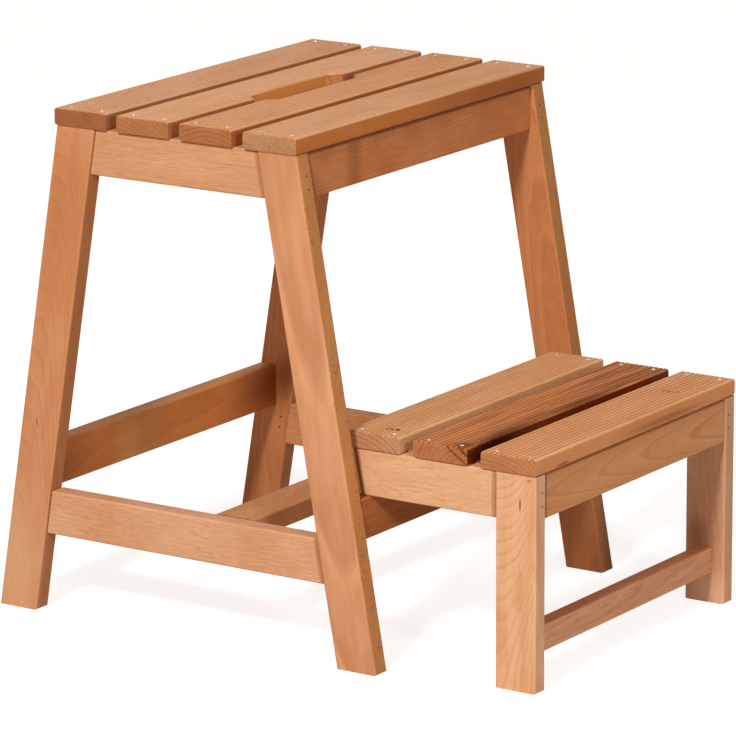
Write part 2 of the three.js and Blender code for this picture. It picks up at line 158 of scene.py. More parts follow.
# beech: growth rings, ray dashes, fibres and broad patches, in the log's own millimetres; a board
# may have another value for each of these, under the same name written as one word
woodDefaults = {
    "Ring Width": 4.0,
    "Ring Contrast": 0.3,
    "Wander": 14.0,
    "Ripple": 1.2,
    "Ring Break": 0.3,
    "Ring Start": 0.25,
    "Pale Contrast": 0.25,
    "Taper": 0.02,
    "Bend": 0.0,
    "Dash Contrast": 0.2,
    "Dash Wave": 1.6,
    "Speck Contrast": 0.15,
    "Fibre Contrast": 0.05,
    "Patch Contrast": 0.5,
    "End Contrast": 0.4,
}
woodColours = {
    "Pale Colour": (0.70, 0.345, 0.166, 1.0),
    "Deep Colour": (0.615, 0.272, 0.112, 1.0),
    "Line Colour": (0.42, 0.150, 0.052, 1.0),
    "End Colour": (0.74, 0.62, 0.52, 1.0),
    # the next two are painted light: a tint of light and shade on narrow faces, and a painted highlight on
    # the roundings
    "Edge Colour": (1.0, 1.0, 1.0, 1.0),
    "Arris Colour": (1.07, 1.09, 1.1, 1.0),
}
seedShift = (97.0, 31.0, 173.0)  # how far apart two boards' noises lie, for one step of the seed
waveScale = (0.125, 0.125, 0.11)  # of the noise that bends the ray dashes
# how much darker these are than the line colour, in red, green and blue
darkTints = {
    "groove": (0.8, 0.7, 0.6), "speck": (0.5, 0.45, 0.4), "endRing": (0.75, 0.7, 0.65),
    "pore": (0.9, 0.85, 0.8),
}
# each noise: its size across and along the grain (mm), then its detail and roughness
noiseSizes = {
    "wander": (70, 260),
    "ripple": (8, 34),
    "ringBreak": (3.0, 16.0, 1.0),
    "dashCluster": (14, 50),
    "fibre": (0.7, 45, 3.0, 0.6),
    "specks": (1.2, 3.6, 1.0),
    "speckField": (9, 60, 1.0),
    "pores": (0.8, 30, 2.0),
    "markEdge": (1.6, 1.6),
}
# each mask: where it starts and ends, then its values there unless they are 0 and 1
maskRanges = {
    "lateFall": (0.9, 1.0, 1.0, 0.0),
    "paleRise": (0.0, 0.04),
    "paleFall": (0.07, 0.24, 1.0, 0.0),
    "paleByFace": (0.3, 0.8, 1.0, 0.2),
    "ringBreak": (0.36, 0.62),
    "dashCluster": (0.36, 0.62, 0.25, 1.0),
    "dash": (0.5, 0.7),
    "dashGap": (0.3, 0.47, 1.0, 0.0),
    "patch": (0.34, 0.66),
    "narrowFace": (0.5, 0.9),
    "grooveMouth": (0.1, 0.75),
    "grooveFloor": (1.1, 1.3, 1.0, 0.0),
    "grooveWall": (0.05, 0.3, 1.0, 0.0),
    "specks": (0.6, 0.68),
    "speckField": (0.42, 0.6),
    "arrisHighlightInner": (0.1, 0.35),
    "arrisHighlightOuter": (0.75, 0.97, 1.0, 0.0),
    "endFace": (0.5, 0.85),
    "endRingRise": (0.45, 0.8),
    "endRingFall": (0.8, 1.0, 1.0, 0.0),
    "pores": (0.48, 0.66),
    "heartStreak": (0.42, 0.6),
}
# how far each mark of the wood goes into its colour, roughness and height
woodShares = {
    "ringLeast": 0.35, "ringOnNarrowFace": -0.7, "dashGap": 0.3, "paleLift": 0.35, "fibre": 2.0,
    "pores": 0.8, "roughness": 0.46, "patchRoughness": 0.08, "dashRoughness": 0.08,
    "endRoughness": 0.15, "dashHeight": -0.25, "fibreHeight": 0.5, "ringHeight": -0.2,
}


def grainNoise(tree, point, name):
    across, along, *rest = noiseSizes[name]
    stretched = vectorCalc(tree, "MULTIPLY", point, (1 / across, 1 / across, 1 / along))
    return noiseAt(tree, stretched, *rest)


def maskOf(tree, value, name):
    return smoothRange(tree, value, *maskRanges[name])


def makeBeechGrain():
    inputs = {
        "Log Point": "Vector", "Log Normal": "Vector", "Seed": 0.0, "Dash Size": (1.2, 1.2, 10.0),
        "Patch Size": (26.0, 26.0, 110.0), "Edge Limit": 10000.0, "Groove Zone": (10000.0, 0.0, 0.0),
        "Groove Shade": 0.0, **woodDefaults, **woodColours,
    }
    outputs = {"Colour": "Color", "Roughness": "Float", "Height": "Float"}
    tree, given, result = newGroup("beechGrain", "ShaderNodeTree", inputs, outputs)
    add, subtract, mulAdd = (partial(calc, tree, name) for name in ("ADD", "SUBTRACT", "MULTIPLY_ADD"))
    size, isBelow = (partial(calc, tree, name) for name in ("ABSOLUTE", "LESS_THAN"))
    multiply, mask, blend = (partial(helper, tree) for helper in (product, maskOf, blendColours))
    share = woodShares

    def darker(colour, name):
        return vectorCalc(tree, "MULTIPLY", colour, darkTints[name])

    logX, logY, logZ = splitVector(tree, given["Log Point"])
    _, towardEdge, towardEnd = (size(part) for part in splitVector(tree, given["Log Normal"]))
    point = vectorCalc(tree, "ADD", given["Log Point"], scaled(tree, seedShift, given["Seed"]))
    noise = partial(grainNoise, tree, point)

    # distance from the pith, bent by slow and quick noise
    wander = multiply(subtract(noise("wander"), 0.5), given["Wander"])
    ripple = multiply(subtract(noise("ripple"), 0.5), given["Ripple"])
    flat = vectorCalc(tree, "MULTIPLY", given["Log Point"], (1.0, 1.0, 0.0))
    radius = add(vectorCalc(tree, "LENGTH", flat), add(wander, ripple))
    radius = mulAdd(logZ, mulAdd(logZ, given["Bend"], given["Taper"]), radius)
    turns = calc(tree, "DIVIDE", radius, given["Ring Width"])
    phase = calc(tree, "FRACT", turns)

    # each ring darkens slowly to its late wood, by a share of its own, and starts with a pale line
    ringId = add(calc(tree, "FLOOR", turns), given["Seed"])
    ringPick = makeNode(tree, "ShaderNodeTexWhiteNoise", {"W": ringId}, noise_dimensions="1D")[0]
    strength = mulAdd(ringPick, 1 - share["ringLeast"], share["ringLeast"])
    late = smoothRange(tree, phase, given["Ring Start"], maskRanges["lateFall"][0])
    late = multiply(late, mask(phase, "lateFall"))
    broken = smoothRange(tree, noise("ringBreak"), *maskRanges["ringBreak"], given["Ring Break"], 1.0)
    rings = multiply(late, strength, broken)
    early = multiply(mask(phase, "paleRise"), mask(phase, "paleFall"), strength)
    early = multiply(early, given["Pale Contrast"], mask(towardEdge, "paleByFace"))

    # ray dashes: short dark spindles along the grain, in clusters, with paler wood between them
    cluster = mask(noise("dashCluster"), "dashCluster")
    wave = noiseAt(tree, vectorCalc(tree, "MULTIPLY", point, waveScale), 1.0, output="Color")
    wave = vectorCalc(tree, "SUBTRACT", wave, (0.5, 0.5, 0.5))
    wave = scaled(tree, vectorCalc(tree, "MULTIPLY", wave, (1.0, 1.0, 0.0)), given["Dash Wave"])
    dashPoint = vectorCalc(tree, "DIVIDE", vectorCalc(tree, "ADD", point, wave), given["Dash Size"])
    dashNoise = noiseAt(tree, dashPoint, 1.0)
    dash = mask(dashNoise, "dash")
    dashShade = multiply(dash, cluster, given["Dash Contrast"])
    gaps = multiply(mask(dashNoise, "dashGap"), given["Dash Contrast"])
    lift = multiply(mulAdd(gaps, share["dashGap"], 1.0), mulAdd(early, share["paleLift"], 1.0))

    fibre = subtract(noise("fibre"), 0.5)
    fibreShade = mulAdd(multiply(fibre, given["Fibre Contrast"]), share["fibre"], 1.0)
    patch = mask(noiseAt(tree, vectorCalc(tree, "DIVIDE", point, given["Patch Size"])), "patch")

    # narrow faces show the rings only faintly
    edgeMask = multiply(mask(towardEdge, "narrowFace"), isBelow(logX, given["Edge Limit"]))
    faint = mulAdd(edgeMask, share["ringOnNarrowFace"], 1.0)
    ringShade = multiply(rings, given["Ring Contrast"], faint)
    patchShade = multiply(patch, given["Patch Contrast"])
    colour = blend(patchShade, given["Pale Colour"], given["Deep Colour"])
    colour = blend(ringShade, colour, given["Line Colour"])
    colour = blend(dashShade, colour, given["Line Colour"])
    shade = multiply(fibreShade, lift)
    grey = makeNode(tree, "ShaderNodeCombineColor", {0: shade, 1: shade, 2: shade})[0]
    colour = tinted(tree, colour, grey)

    # the grooves of a slat are darker, painted shade in the recesses and finish held there: zone is the
    # top's height, the half width and the middle
    top, halfWidth, middle = splitVector(tree, given["Groove Zone"])
    depth = subtract(top, logX)
    groove = multiply(mask(depth, "grooveMouth"), mask(depth, "grooveFloor"))
    groove = multiply(groove, isBelow(size(subtract(logY, middle)), halfWidth))
    groove = multiply(groove, mask(towardEnd, "grooveWall"), given["Groove Shade"])
    colour = blend(groove, colour, darker(given["Line Colour"], "groove"))

    # narrow faces have specks of their own and a tint of painted light and shade, and the rounding
    # beside them is paler, as a painted highlight
    edgeShadeAndSpecks = tinted(tree, colour, given["Edge Colour"])
    specks = multiply(mask(noise("specks"), "specks"), mask(noise("speckField"), "speckField"))
    specks = multiply(specks, given["Speck Contrast"])
    edgeShadeAndSpecks = blend(specks, edgeShadeAndSpecks, darker(given["Line Colour"], "speck"))
    arrisHighlight = multiply(mask(towardEdge, "arrisHighlightOuter"), mask(towardEdge, "arrisHighlightInner"))
    colour = blend(edgeMask, colour, edgeShadeAndSpecks)
    colour = blend(arrisHighlight, colour, tinted(tree, colour, given["Arris Colour"]))

    # end grain is darker, with clearer rings and pores
    endMask = mask(towardEnd, "endFace")
    endRings = multiply(mask(phase, "endRingRise"), mask(phase, "endRingFall"), strength)
    endRings = multiply(endRings, given["End Contrast"])
    pores = multiply(mask(noise("pores"), "pores"), given["End Contrast"], share["pores"])
    endDark = tinted(tree, given["Line Colour"], given["End Colour"])
    ended = tinted(tree, colour, given["End Colour"])
    ended = blend(endRings, ended, darker(endDark, "endRing"))
    ended = blend(pores, ended, darker(endDark, "pore"))

    roughness = mulAdd(patch, share["patchRoughness"], share["roughness"])
    roughness = mulAdd(dash, share["dashRoughness"], roughness)
    height = mulAdd(dash, share["dashHeight"], multiply(fibre, share["fibreHeight"]))
    feed(tree, result, {
        "Colour": blend(endMask, colour, ended),
        "Roughness": mulAdd(endMask, share["endRoughness"], roughness),
        "Height": mulAdd(rings, share["ringHeight"], height),
    })
    return tree


# blends a colour in over a soft ellipsoid: knots and stains, and also painted shadows and painted light
def makeMarkOrPaintedLight():
    inputs = {
        "Point": "Vector", "Colour": "Color", "Mark Colour": (0.12, 0.03, 0.01, 1.0),
        "Centre": (0.0, 0.0, 0.0), "Reach": (1.0, 1.0, 1.0), "Amount": 0.8, "Softness": 0.5,
        "Raggedness": 0.4, "Lean": 0.0, "Side Lean": 0.0,
    }
    tree, given, result = newGroup("smallMark", "ShaderNodeTree", inputs, {"Colour": "Color"})
    offset = vectorCalc(tree, "SUBTRACT", given["Point"], given["Centre"])
    height = splitVector(tree, offset)["Z"]
    aside = [product(tree, height, given[label]) for label in ("Lean", "Side Lean")]
    offset = vectorCalc(tree, "ADD", offset, joinVector(tree, *aside))
    distance = vectorCalc(tree, "LENGTH", vectorCalc(tree, "DIVIDE", offset, given["Reach"]))
    rag = calc(tree, "SUBTRACT", grainNoise(tree, given["Point"], "markEdge"), 0.5)
    distance = calc(tree, "MULTIPLY_ADD", rag, given["Raggedness"], distance)
    inner = calc(tree, "SUBTRACT", 1.0, given["Softness"])
    mask = product(tree, smoothRange(tree, distance, inner, 1.0, 1.0, 0.0), given["Amount"])
    feed(tree, result, {"Colour": blendColours(tree, mask, given["Colour"], given["Mark Colour"])})
    return tree


def makeDarkHeart():
    inputs = {
        "Point": "Vector", "Log Point": "Vector", "Colour": "Color", "Amount": 0.8, "Start": -60.0,
        "Full": 60.0, "Streak Colour": (0.11, 0.03, 0.02, 1.0), "Streak Width": 3.0,
        "Streak Length": 140.0, "Seed": 0.0,
    }
    tree, given, result = newGroup("darkHeart", "ShaderNodeTree", inputs, {"Colour": "Color"})
    mask = smoothRange(tree, splitVector(tree, given["Point"])["Y"], given["Start"], given["Full"])
    size = joinVector(tree, given["Streak Width"], given["Streak Width"], given["Streak Length"])
    stretched = vectorCalc(tree, "DIVIDE", given["Log Point"], size)
    noise = noiseAt(tree, vectorCalc(tree, "ADD", stretched, joinVector(tree, given["Seed"])))
    streak = product(tree, maskOf(tree, noise, "heartStreak"), mask, given["Amount"])
    feed(tree, result, {"Colour": blendColours(tree, streak, given["Colour"], given["Streak Colour"])})
    return tree


beechGrain = makeBeechGrain()
smallMark = makeMarkOrPaintedLight()
darkHeart = makeDarkHeart()


def mark(centre, reach, colour, amount=0.8, softness=0.5, raggedness=0.4, lean=0.0, sideLean=0.0):
    # a mark in the stool's millimetres, for knots and stains and also for painted shadows and painted
    # light: half sizes, the share of its colour, how soft and ragged its outline is, and how far it
    # leans in x and y for each millimetre of height
    return {
        "Centre": centre, "Reach": reach, "Mark Colour": (*colour, 1.0), "Amount": amount,
        "Softness": softness, "Raggedness": raggedness, "Lean": lean, "Side Lean": sideLean,
    }


# how each board is cut from its log: long axis, axis of its wide face, pith offset across the
# face and across the width (mm), tilt of the grain (degrees), and what differs from the defaults
# a board's tint also holds painted light and shade, its narrow-face tint is painted light and shade, and
# the marks noted below are painted shadows and painted light
boardLooks = {
    "front_leg_left": {
        "axes": "zy", "pith": (173.06, 7), "tilt": (10.0, 0.5), "taper": -0.0307, "bend": 4.6e-05,
        "ringWidth": 4.2, "ringContrast": 0.6, "ringStart": 0.5, "ringBreak": 0.8, "paleContrast": 0.6,
        "wander": 1.0, "ripple": 0.2, "dashContrast": 0.05, "speckContrast": 0.9,
        "patchSize": (20, 12, 55), "patchContrast": 0.7, "tint": (1.06, 1.0, 1.03),
        "edgeLightAndShade": (0.91, 0.85, 0.62),
        "marks": [
            # darker towards the top of the leg
            mark((40, -196.5, 440), (60, 5, 75), (0.58, 0.25, 0.1), 0.55, 1.0, 0.2),
            # paler wood and a painted highlight: a pale stripe down the leg's rounded front edge
            mark((75.8, -198.5, 300), (4.5, 3, 210), (0.8, 0.44, 0.2), 0.6, 0.85, 0.15, lean=0.176),
        ],
    },
    "front_leg_right": {
        "axes": "zy", "pith": (52, 14), "tilt": (10.0, 0.5), "taper": 0.05, "tint": (0.84, 0.65, 0.51),
        "edgeLightAndShade": (0.94, 1.02, 0.84),
        # painted shade: the foot darkened
        "marks": [mark((128, 198, 5), (34, 30, 110), (0.2, 0.056, 0.017), 0.92, 0.9, 0.1)],
    },
    "rear_leg_left": {
        "axes": "zy", "pith": (72, -16), "tilt": (-9.4, 0.5), "taper": 0.08, "ringWidth": 2.3,
        "ringStart": 0.6, "ringBreak": 0.5, "wander": 6.0, "dashContrast": 0.06,
        "patchSize": (20, 13, 60), "patchContrast": 0.55, "tint": (0.98, 0.84, 0.79),
        "edgeLightAndShade": (0.84, 0.78, 0.68),
        "marks": [
            # lighter towards the foot
            mark((-258, -196.5, 40), (60, 8, 130), (0.88, 0.5, 0.27), 0.55, 1.0, 0.2),
            # darker over the upper leg, leaning with it
            mark((-194.8, -198.5, 360), (45, 10, 120), (0.5, 0.18, 0.05), 0.6, 1.0, 0.2, lean=-0.166),
            mark((-227.6, -198.5, 174.5), (1.1, 4, 6), (0.16, 0.05, 0.02)),
        ],
    },
    "rear_leg_right": {
        "axes": "zy", "pith": (44, 10), "tilt": (-9.4, 0.5), "taper": -0.05, "tint": (0.85, 0.64, 0.5),
        "marks": [
            # painted shadow on the leg beside the rear cross rail
            mark((-221, 178.5, 138), (17, 10, 34), (0.2, 0.055, 0.015), 0.7, 0.9, 0.2, lean=-0.166),
            # painted shade over the upper part of the leg
            mark((-205, 178, 275), (50, 30, 170), (0.36, 0.12, 0.035), 0.5, 0.9, 0.2),
        ],
    },
    "side_apron_left": {
        "axes": "xy", "pith": (40, 62), "ringContrast": 0.14, "dashContrast": 0.36,
        "dashSize": (1.0, 1.0, 15.0), "tint": (1.0, 1.02, 1.07),
        "marks": [
            # painted shadow: a dark strip at the apron's end beside the front leg
            mark((15.1, -196.5, 425), (5.4, 8, 60), (0.4, 0.13, 0.045), 0.5, 0.45, 0.1, lean=0.176),
        ],
    },
    "side_apron_right": {
        "axes": "xy", "pith": (50, 55), "dashContrast": 0.35, "tint": (0.94, 0.8, 0.66),
    },
    "side_stretcher_left": {
        "axes": "xy", "pith": (36, 70), "ringContrast": 0.16, "dashContrast": 0.36,
        "dashSize": (0.9, 0.9, 10.0), "patchSize": (26, 60, 60), "patchContrast": 0.7,
        "tint": (1.11, 1.15, 1.3),
        # painted shadow: a dark strip at the stretcher's end beside the front leg
        "marks": [mark((73.8, -196.5, 92), (5.4, 8, 60), (0.4, 0.13, 0.045), 0.6, 0.45, 0.1, lean=0.176)],
    },
    "side_stretcher_right": {
        "axes": "xy", "pith": (45, 52), "dashContrast": 0.3, "tint": (0.94, 0.8, 0.66),
    },
    "front_apron": {
        "axes": "yx", "pith": (15, 55), "ringWidth": 3.3, "ringContrast": 0.45, "ringStart": 0.4,
        "wander": 6.0, "ripple": 0.8, "dashContrast": 0.22, "dashSize": (1.3, 1.3, 36.0), "dashWave": 0.8,
        "patchSize": (20, 40, 40), "patchContrast": 0.8, "tint": (0.97, 0.72, 0.52),
        "marks": [
            # painted shadow under the seat slat, along the apron's top
            mark((50.7, 0, 444.7), (8, 600, 4.4), (0.14, 0.038, 0.01), 0.85, raggedness=0.1),
            # painted shadow: a soft dark band across the apron
            mark((50.7, -106, 420), (10, 16, 60), (0.33, 0.1, 0.03), 0.5, 0.8, 0.3),
            # painted shade along the joint with the leg
            mark((50.7, -170.2, 424), (14, 1.5, 60), (0.2, 0.055, 0.014), 0.65, 0.6, 0.1, sideLean=0.262),
        ],
    },
    "rear_apron": {
        "axes": "yx", "pith": (55, 20), "tint": (0.94, 0.8, 0.66),
    },
    "front_cross_rail": {
        "axes": "yx", "pith": (50, 30), "dashContrast": 0.4, "dashSize": (1.4, 1.4, 36.0),
        "tint": (0.7, 0.46, 0.25),
    },
    "rear_cross_rail": {
        "axes": "yx", "pith": (70, 12), "ringWidth": 4.6, "dashContrast": 0.1, "patchContrast": 0.2,
        "tint": (1.08, 0.76, 0.42), "edgeLightAndShade": (1.12, 1.39, 1.75),
        "marks": [
            # painted light over a shadow that the lamps cast on the rail
            mark((-230.7, -41, 126), (14, 48, 60), (1.0, 0.5, 0.18), 0.6, 1.0, 0.2),
            # painted shade towards the near end
            mark((-230.7, -185, 128), (14, 95, 60), (0.2, 0.045, 0.009), 0.7, 1.0, 0.2),
            # painted shadow towards the far end
            mark((-230.7, 185, 132), (14, 115, 60), (0.17, 0.022, 0.001), 0.9, 0.9, 0.1),
        ],
    },
    "rest_rail": {
        "axes": "yz", "pith": (55, 18), "tint": (1.0, 0.88, 0.72),
    },
    "seat_slat_1": {
        "axes": "yz", "pith": (40, 40), "ringWidth": 2.1, "ringContrast": 0.06, "dashContrast": 0.08,
        "grooveShade": 0.12, "endContrast": 0.95, "tint": (1.12, 1.19, 1.29),
        "endTint": (0.57, 0.4, 0.31), "edgeLightAndShade": (0.62, 0.45, 0.34),
        "marks": [mark((-183.1, -117.5, 460), (1.3, 3.0, 3.0), (0.14, 0.04, 0.02))],
    },
    "seat_slat_2": {
        "axes": "yz", "pith": (52, 24), "ringContrast": 0.06, "dashContrast": 0.08, "grooveShade": 0.08,
        "endContrast": 0.35, "tint": (1.21, 1.31, 1.44), "endTint": (0.58, 0.42, 0.31),
        "edgeLightAndShade": (0.62, 0.45, 0.34),
        # painted light: the hand hole's wall lit orange
        "marks": [mark((-89, 0, 451), (2.6, 78, 12), (0.86, 0.33, 0.085), 0.9, 0.15, 0.1)],
    },
    "seat_slat_3": {
        "axes": "yz", "pith": (60, -8), "ringContrast": 0.08, "dashContrast": 0.1, "grooveShade": 0.5,
        "endContrast": 0.45, "tint": (1.19, 1.18, 1.11), "endTint": (0.57, 0.43, 0.34),
        "edgeLightAndShade": (0.61, 0.41, 0.27),
    },
    "seat_slat_4": {
        "axes": "yz", "pith": (40, 44), "ringWidth": 1.9, "ringContrast": 0.08, "dashContrast": 0.1,
        "grooveShade": 0.25, "endContrast": 0.85, "tint": (1.15, 1.23, 1.3),
        "endTint": (0.72, 0.69, 0.66), "edgeLightAndShade": (0.8, 0.5, 0.22),
        "marks": [
            # painted shade: the slat's front side darker towards the far end
            mark((55, 130, 452), (6, 190, 30), (0.3, 0.08, 0.012), 0.7, 1.0, 0.1),
            mark((33.7, -120.9, 460), (1.2, 9.0, 3.0), (0.2, 0.06, 0.02), raggedness=2.5),
        ],
    },
    "step_leg_left": {
        "axes": "zy", "pith": (62, -20), "taper": -0.2, "bend": -0.0008, "ringWidth": 2.6,
        "ringContrast": 0.5, "ringStart": 0.55, "ringBreak": 0.5, "paleContrast": 0.2, "wander": 7.0,
        "dashContrast": 0.04, "patchSize": (16, 12, 60), "patchContrast": 0.9, "tint": (1.25, 1.35, 1.5),
        "edgeLightAndShade": (1.03, 1.07, 1.19),
        "marks": [
            mark((257.3, -167, 164), (1.2, 4, 7.5), (0.17, 0.05, 0.015)),
            mark((266, -167, 186), (4.5, 4, 1.8), (0.26, 0.13, 0.04), 0.5, 0.8, lean=-0.8),
        ],
    },
    "step_leg_right": {
        "axes": "zy", "pith": (40, -16), "taper": 0.06, "tint": (0.98, 1.04, 1.22),
        "edgeLightAndShade": (1.17, 1.15, 1.08),
        "marks": [
            # painted light on the lower inner face
            mark((258, 151, 8), (34, 10, 34), (1.0, 0.6, 0.36), 0.75, 0.9, 0.2),
            # painted shade above it
            mark((244, 151, 62), (17, 10, 30), (0.28, 0.1, 0.04), 0.6, 1.0, 0.2),
        ],
    },
    "step_rail_left": {
        "axes": "xy", "pith": (44, 58), "ringContrast": 0.12, "dashContrast": 0.32,
        "dashSize": (1.2, 1.2, 13.0), "dashWave": 2.4, "tint": (1.18, 1.34, 1.48),
        "marks": [
            # painted shadow of the front leg on the rail
            mark((93.7, -165, 170), (2.4, 3, 60), (0.2, 0.055, 0.014), 0.85, 0.6, 0.1, lean=0.199),
            # painted shadow: a dark strip at the rail's end beside the step leg
            mark((232.2, -165, 171), (5.4, 8, 60), (0.4, 0.13, 0.045), 0.6, 0.45, 0.1),
        ],
    },
    "step_rail_right": {
        "axes": "xy", "pith": (50, 46), "tint": (0.94, 0.8, 0.66),
    },
    "step_apron": {
        "axes": "yx", "pith": (14, 0), "taper": -0.065, "ringWidth": 4.4, "ringContrast": 0.6,
        "ringStart": 0.72, "ringBreak": 0.8, "paleContrast": 0.35, "wander": 5.0, "dashContrast": 0.05,
        "tint": (1.14, 1.01, 0.89),
        "marks": [
            # painted shadow under the step slat, along the apron's top
            mark((271.8, 0, 189.7), (8, 600, 2.8), (0.2, 0.055, 0.014), 0.7, raggedness=0.1),
            # painted shade along the joint with the step leg
            mark((271.8, -148.9, 171), (8, 1.2, 60), (0.16, 0.045, 0.018), 0.75, 0.6, 0.1),
        ],
    },
    "step_stretcher": {
        "axes": "yx", "pith": (48, 18), "ringWidth": 2.8, "ringContrast": 0.4, "dashContrast": 0.38,
        "dashSize": (1.2, 1.2, 24.0), "tint": (1.18, 1.15, 1.3), "edgeLightAndShade": (0.9, 0.72, 0.57),
    },
    "step_slat_1": {
        "axes": "yz", "pith": (46, 20), "tint": (1.25, 1.34, 1.29), "endTint": (0.67, 0.64, 0.69),
        "marks": [
            mark((112.8, -146.6, 205), (3.2, 2.8, 4.0), (0.09, 0.02, 0.005), 1.0, raggedness=0.6),
            mark((120.7, -144.2, 205), (3.2, 2.9, 4.0), (0.09, 0.02, 0.005), 1.0, raggedness=0.6),
            mark((117.0, -145.5, 205), (7.5, 1.7, 4.0), (0.1, 0.025, 0.006), 0.95, raggedness=0.5),
        ],
    },
    "step_slat_2": {
        "axes": "yz", "pith": (28, -26), "grooveShade": 0.8, "specular": 0.03, "endContrast": 0.25,
        "tint": (1.15, 0.97, 0.8), "endTint": (0.69, 0.63, 0.62), "edgeLightAndShade": (0.27, 0.09, 0.045),
        "heart": [
            {
                "Streak Colour": (0.28, 0.065, 0.012, 1), "Amount": 0.42, "Start": -260, "Full": -60,
                "Streak Width": 7, "Seed": 3,
            },
            {
                "Streak Colour": (0.13, 0.024, 0.007, 1), "Amount": 0.47, "Start": 20, "Full": 120,
                "Streak Width": 5.5,
            },
        ],
        "marks": [
            mark((203, -105, 204), (13, 90, 16), (0.12, 0.024, 0.004), 0.88, 0.85, 0.9),
            mark((201, 25, 204), (11, 100, 16), (0.13, 0.022, 0.003), 0.85, 0.9, 0.8),
            mark((207, -125, 196), (6, 55, 20), (0.05, 0.002, 0.0005), 0.95, 0.6),
            mark((194, -157, 205), (13, 15, 5), (0.13, 0.03, 0.007), 0.75, 0.9, 0.9),
            mark((192, -40, 205), (5, 45, 6), (0.19, 0.05, 0.012), 0.5, 0.8, 1.0),
            mark((193.5, -177, 198), (3.6, 30, 15), (0.09, 0.02, 0.005), 0.8, 0.8, 0.7, lean=1.5),
            mark((204, -177, 199), (3.4, 50, 15), (0.07, 0.016, 0.004), 0.8, 0.8, 0.7, lean=1.3),
        ],
    },
    "step_slat_3": {
        "axes": "yz", "pith": (50, 16), "tint": (1.25, 1.25, 1.16), "endTint": (0.64, 0.53, 0.47),
        "edgeLightAndShade": (0.96, 0.8, 0.69),
        "marks": [
            # painted shade along the slat's lower front edge
            mark((272.8, 45, 195), (5, 95, 4.5), (0.3, 0.08, 0.01), 0.6, 0.9, 0.3),
            mark((272.8, -124, 192.5), (4, 13, 1.6), (0.2, 0.055, 0.01), 0.7, 0.7, 0.9),
            mark((245, 95.8, 205), (9.5, 1.7, 4), (0.12, 0.035, 0.01), raggedness=2.4),
            mark((254.2, 97.3, 205), (2.6, 2.2, 4), (0.07, 0.02, 0.008), 0.95, raggedness=0.8),
        ],
    },
}
woodSettings = {
    "plainTilt": (0.5, 0.5), "slatTilt": (0.0, 0.0), "specular": 0.1, "bumpStrength": 0.25,
    "bumpDistance": 0.0003, "grooveShade": 0.65, "grooveWall": 1.4, "groovesHalfWidth": 24.7,
}


def woodMaterial(board):
    look, w = boardLooks[board], woodSettings
    isSlat = "slat" in board
    material, tree, shader = newMaterial("beech_" + board)
    along, facing = (axisVectors[letter] for letter in look["axes"])
    rotation = Matrix((facing, along.cross(facing), along))
    tiltX, tiltY = look.get("tilt", w["slatTilt"] if isSlat else w["plainTilt"])
    rotation = Euler((math.radians(tiltX), math.radians(tiltY), 0)).to_matrix() @ rotation
    middle = Vector([sum(limits) / 2 for limits in nodeBox(board)])
    place = Vector((*look["pith"], 0)) - rotation @ middle
    turn = rotation.to_euler()

    source = makeNode(tree, "ShaderNodeTexCoord")
    inMillimetres = {"Vector": source["Object"], "Scale": (1 / mm,) * 3}
    inputs = {**inMillimetres, "Location": place, "Rotation": turn}
    logPoint = makeNode(tree, "ShaderNodeMapping", inputs)[0]
    inputs = {"Vector": source["Normal"], "Rotation": turn}
    logNormal = makeNode(tree, "ShaderNodeMapping", inputs, vector_type="VECTOR")[0]

    inputs = {"Log Point": logPoint, "Log Normal": logNormal, "Seed": list(boardLooks).index(board) + 1}
    for label, value in woodDefaults.items():
        key = label[0].lower() + label[1:].replace(" ", "")
        inputs[label] = look.get(key, value)
    # a board's tint is its own tone together with painted light and shade: darker on boards that stand in
    # shade, lighter on the well-lit step boards
    tint = look.get("tint", (1.0, 1.0, 1.0))
    for label in ("Pale Colour", "Deep Colour", "Line Colour"):
        inputs[label] = (*(channel * part for channel, part in zip(woodColours[label], tint)), 1.0)
    for label, key in (("Dash Size", "dashSize"), ("Patch Size", "patchSize")):
        if key in look:
            inputs[label] = look[key]
    for label, key in (("End Colour", "endTint"), ("Edge Colour", "edgeLightAndShade")):
        if key in look:
            inputs[label] = (*look[key], 1.0)
    if isSlat:  # the walls of the grooves keep the colour of the top
        top = look["pith"][0] + nodeBox(board)[2][1] - middle.z
        inputs["Edge Limit"] = top - w["grooveWall"]
        inputs["Groove Zone"] = (top, w["groovesHalfWidth"], look["pith"][1])
        inputs["Groove Shade"] = look.get("grooveShade", w["grooveShade"])
    grain = makeNode(tree, "ShaderNodeGroup", inputs, node_tree=beechGrain)
    colour = grain["Colour"]

    if "heart" in look or "marks" in look:
        objectPoint = makeNode(tree, "ShaderNodeMapping", inMillimetres)[0]
    for values in look.get("heart", []):
        inputs = {"Point": objectPoint, "Log Point": logPoint, "Colour": colour, **values}
        colour = makeNode(tree, "ShaderNodeGroup", inputs, node_tree=darkHeart)["Colour"]
    for values in look.get("marks", []):
        inputs = {"Point": objectPoint, "Colour": colour, **values}
        colour = makeNode(tree, "ShaderNodeGroup", inputs, node_tree=smallMark)["Colour"]
    inputs = {"Height": grain["Height"], "Strength": w["bumpStrength"], "Distance": w["bumpDistance"]}
    feed(tree, shader.inputs, {
        "Base Color": colour,
        "Roughness": grain["Roughness"],
        "Normal": makeNode(tree, "ShaderNodeBump", inputs)["Normal"],
        "Specular IOR Level": look.get("specular", w["specular"]),
    })
    return material


print("wood shader groups made")

# sizes that several boards share; everything is drawn in millimetres and scaled once
timber = {
    "edgeRadius": 2.0, "tenonThickness": 8, "tenonShoulder": 5, "sideTenon": 16, "jointGap": 0.7,
    "smoothAngle": 35,
}
slack = 0.3  # between joined boards
overrun = 5  # of a cutting tool past the surface that it opens


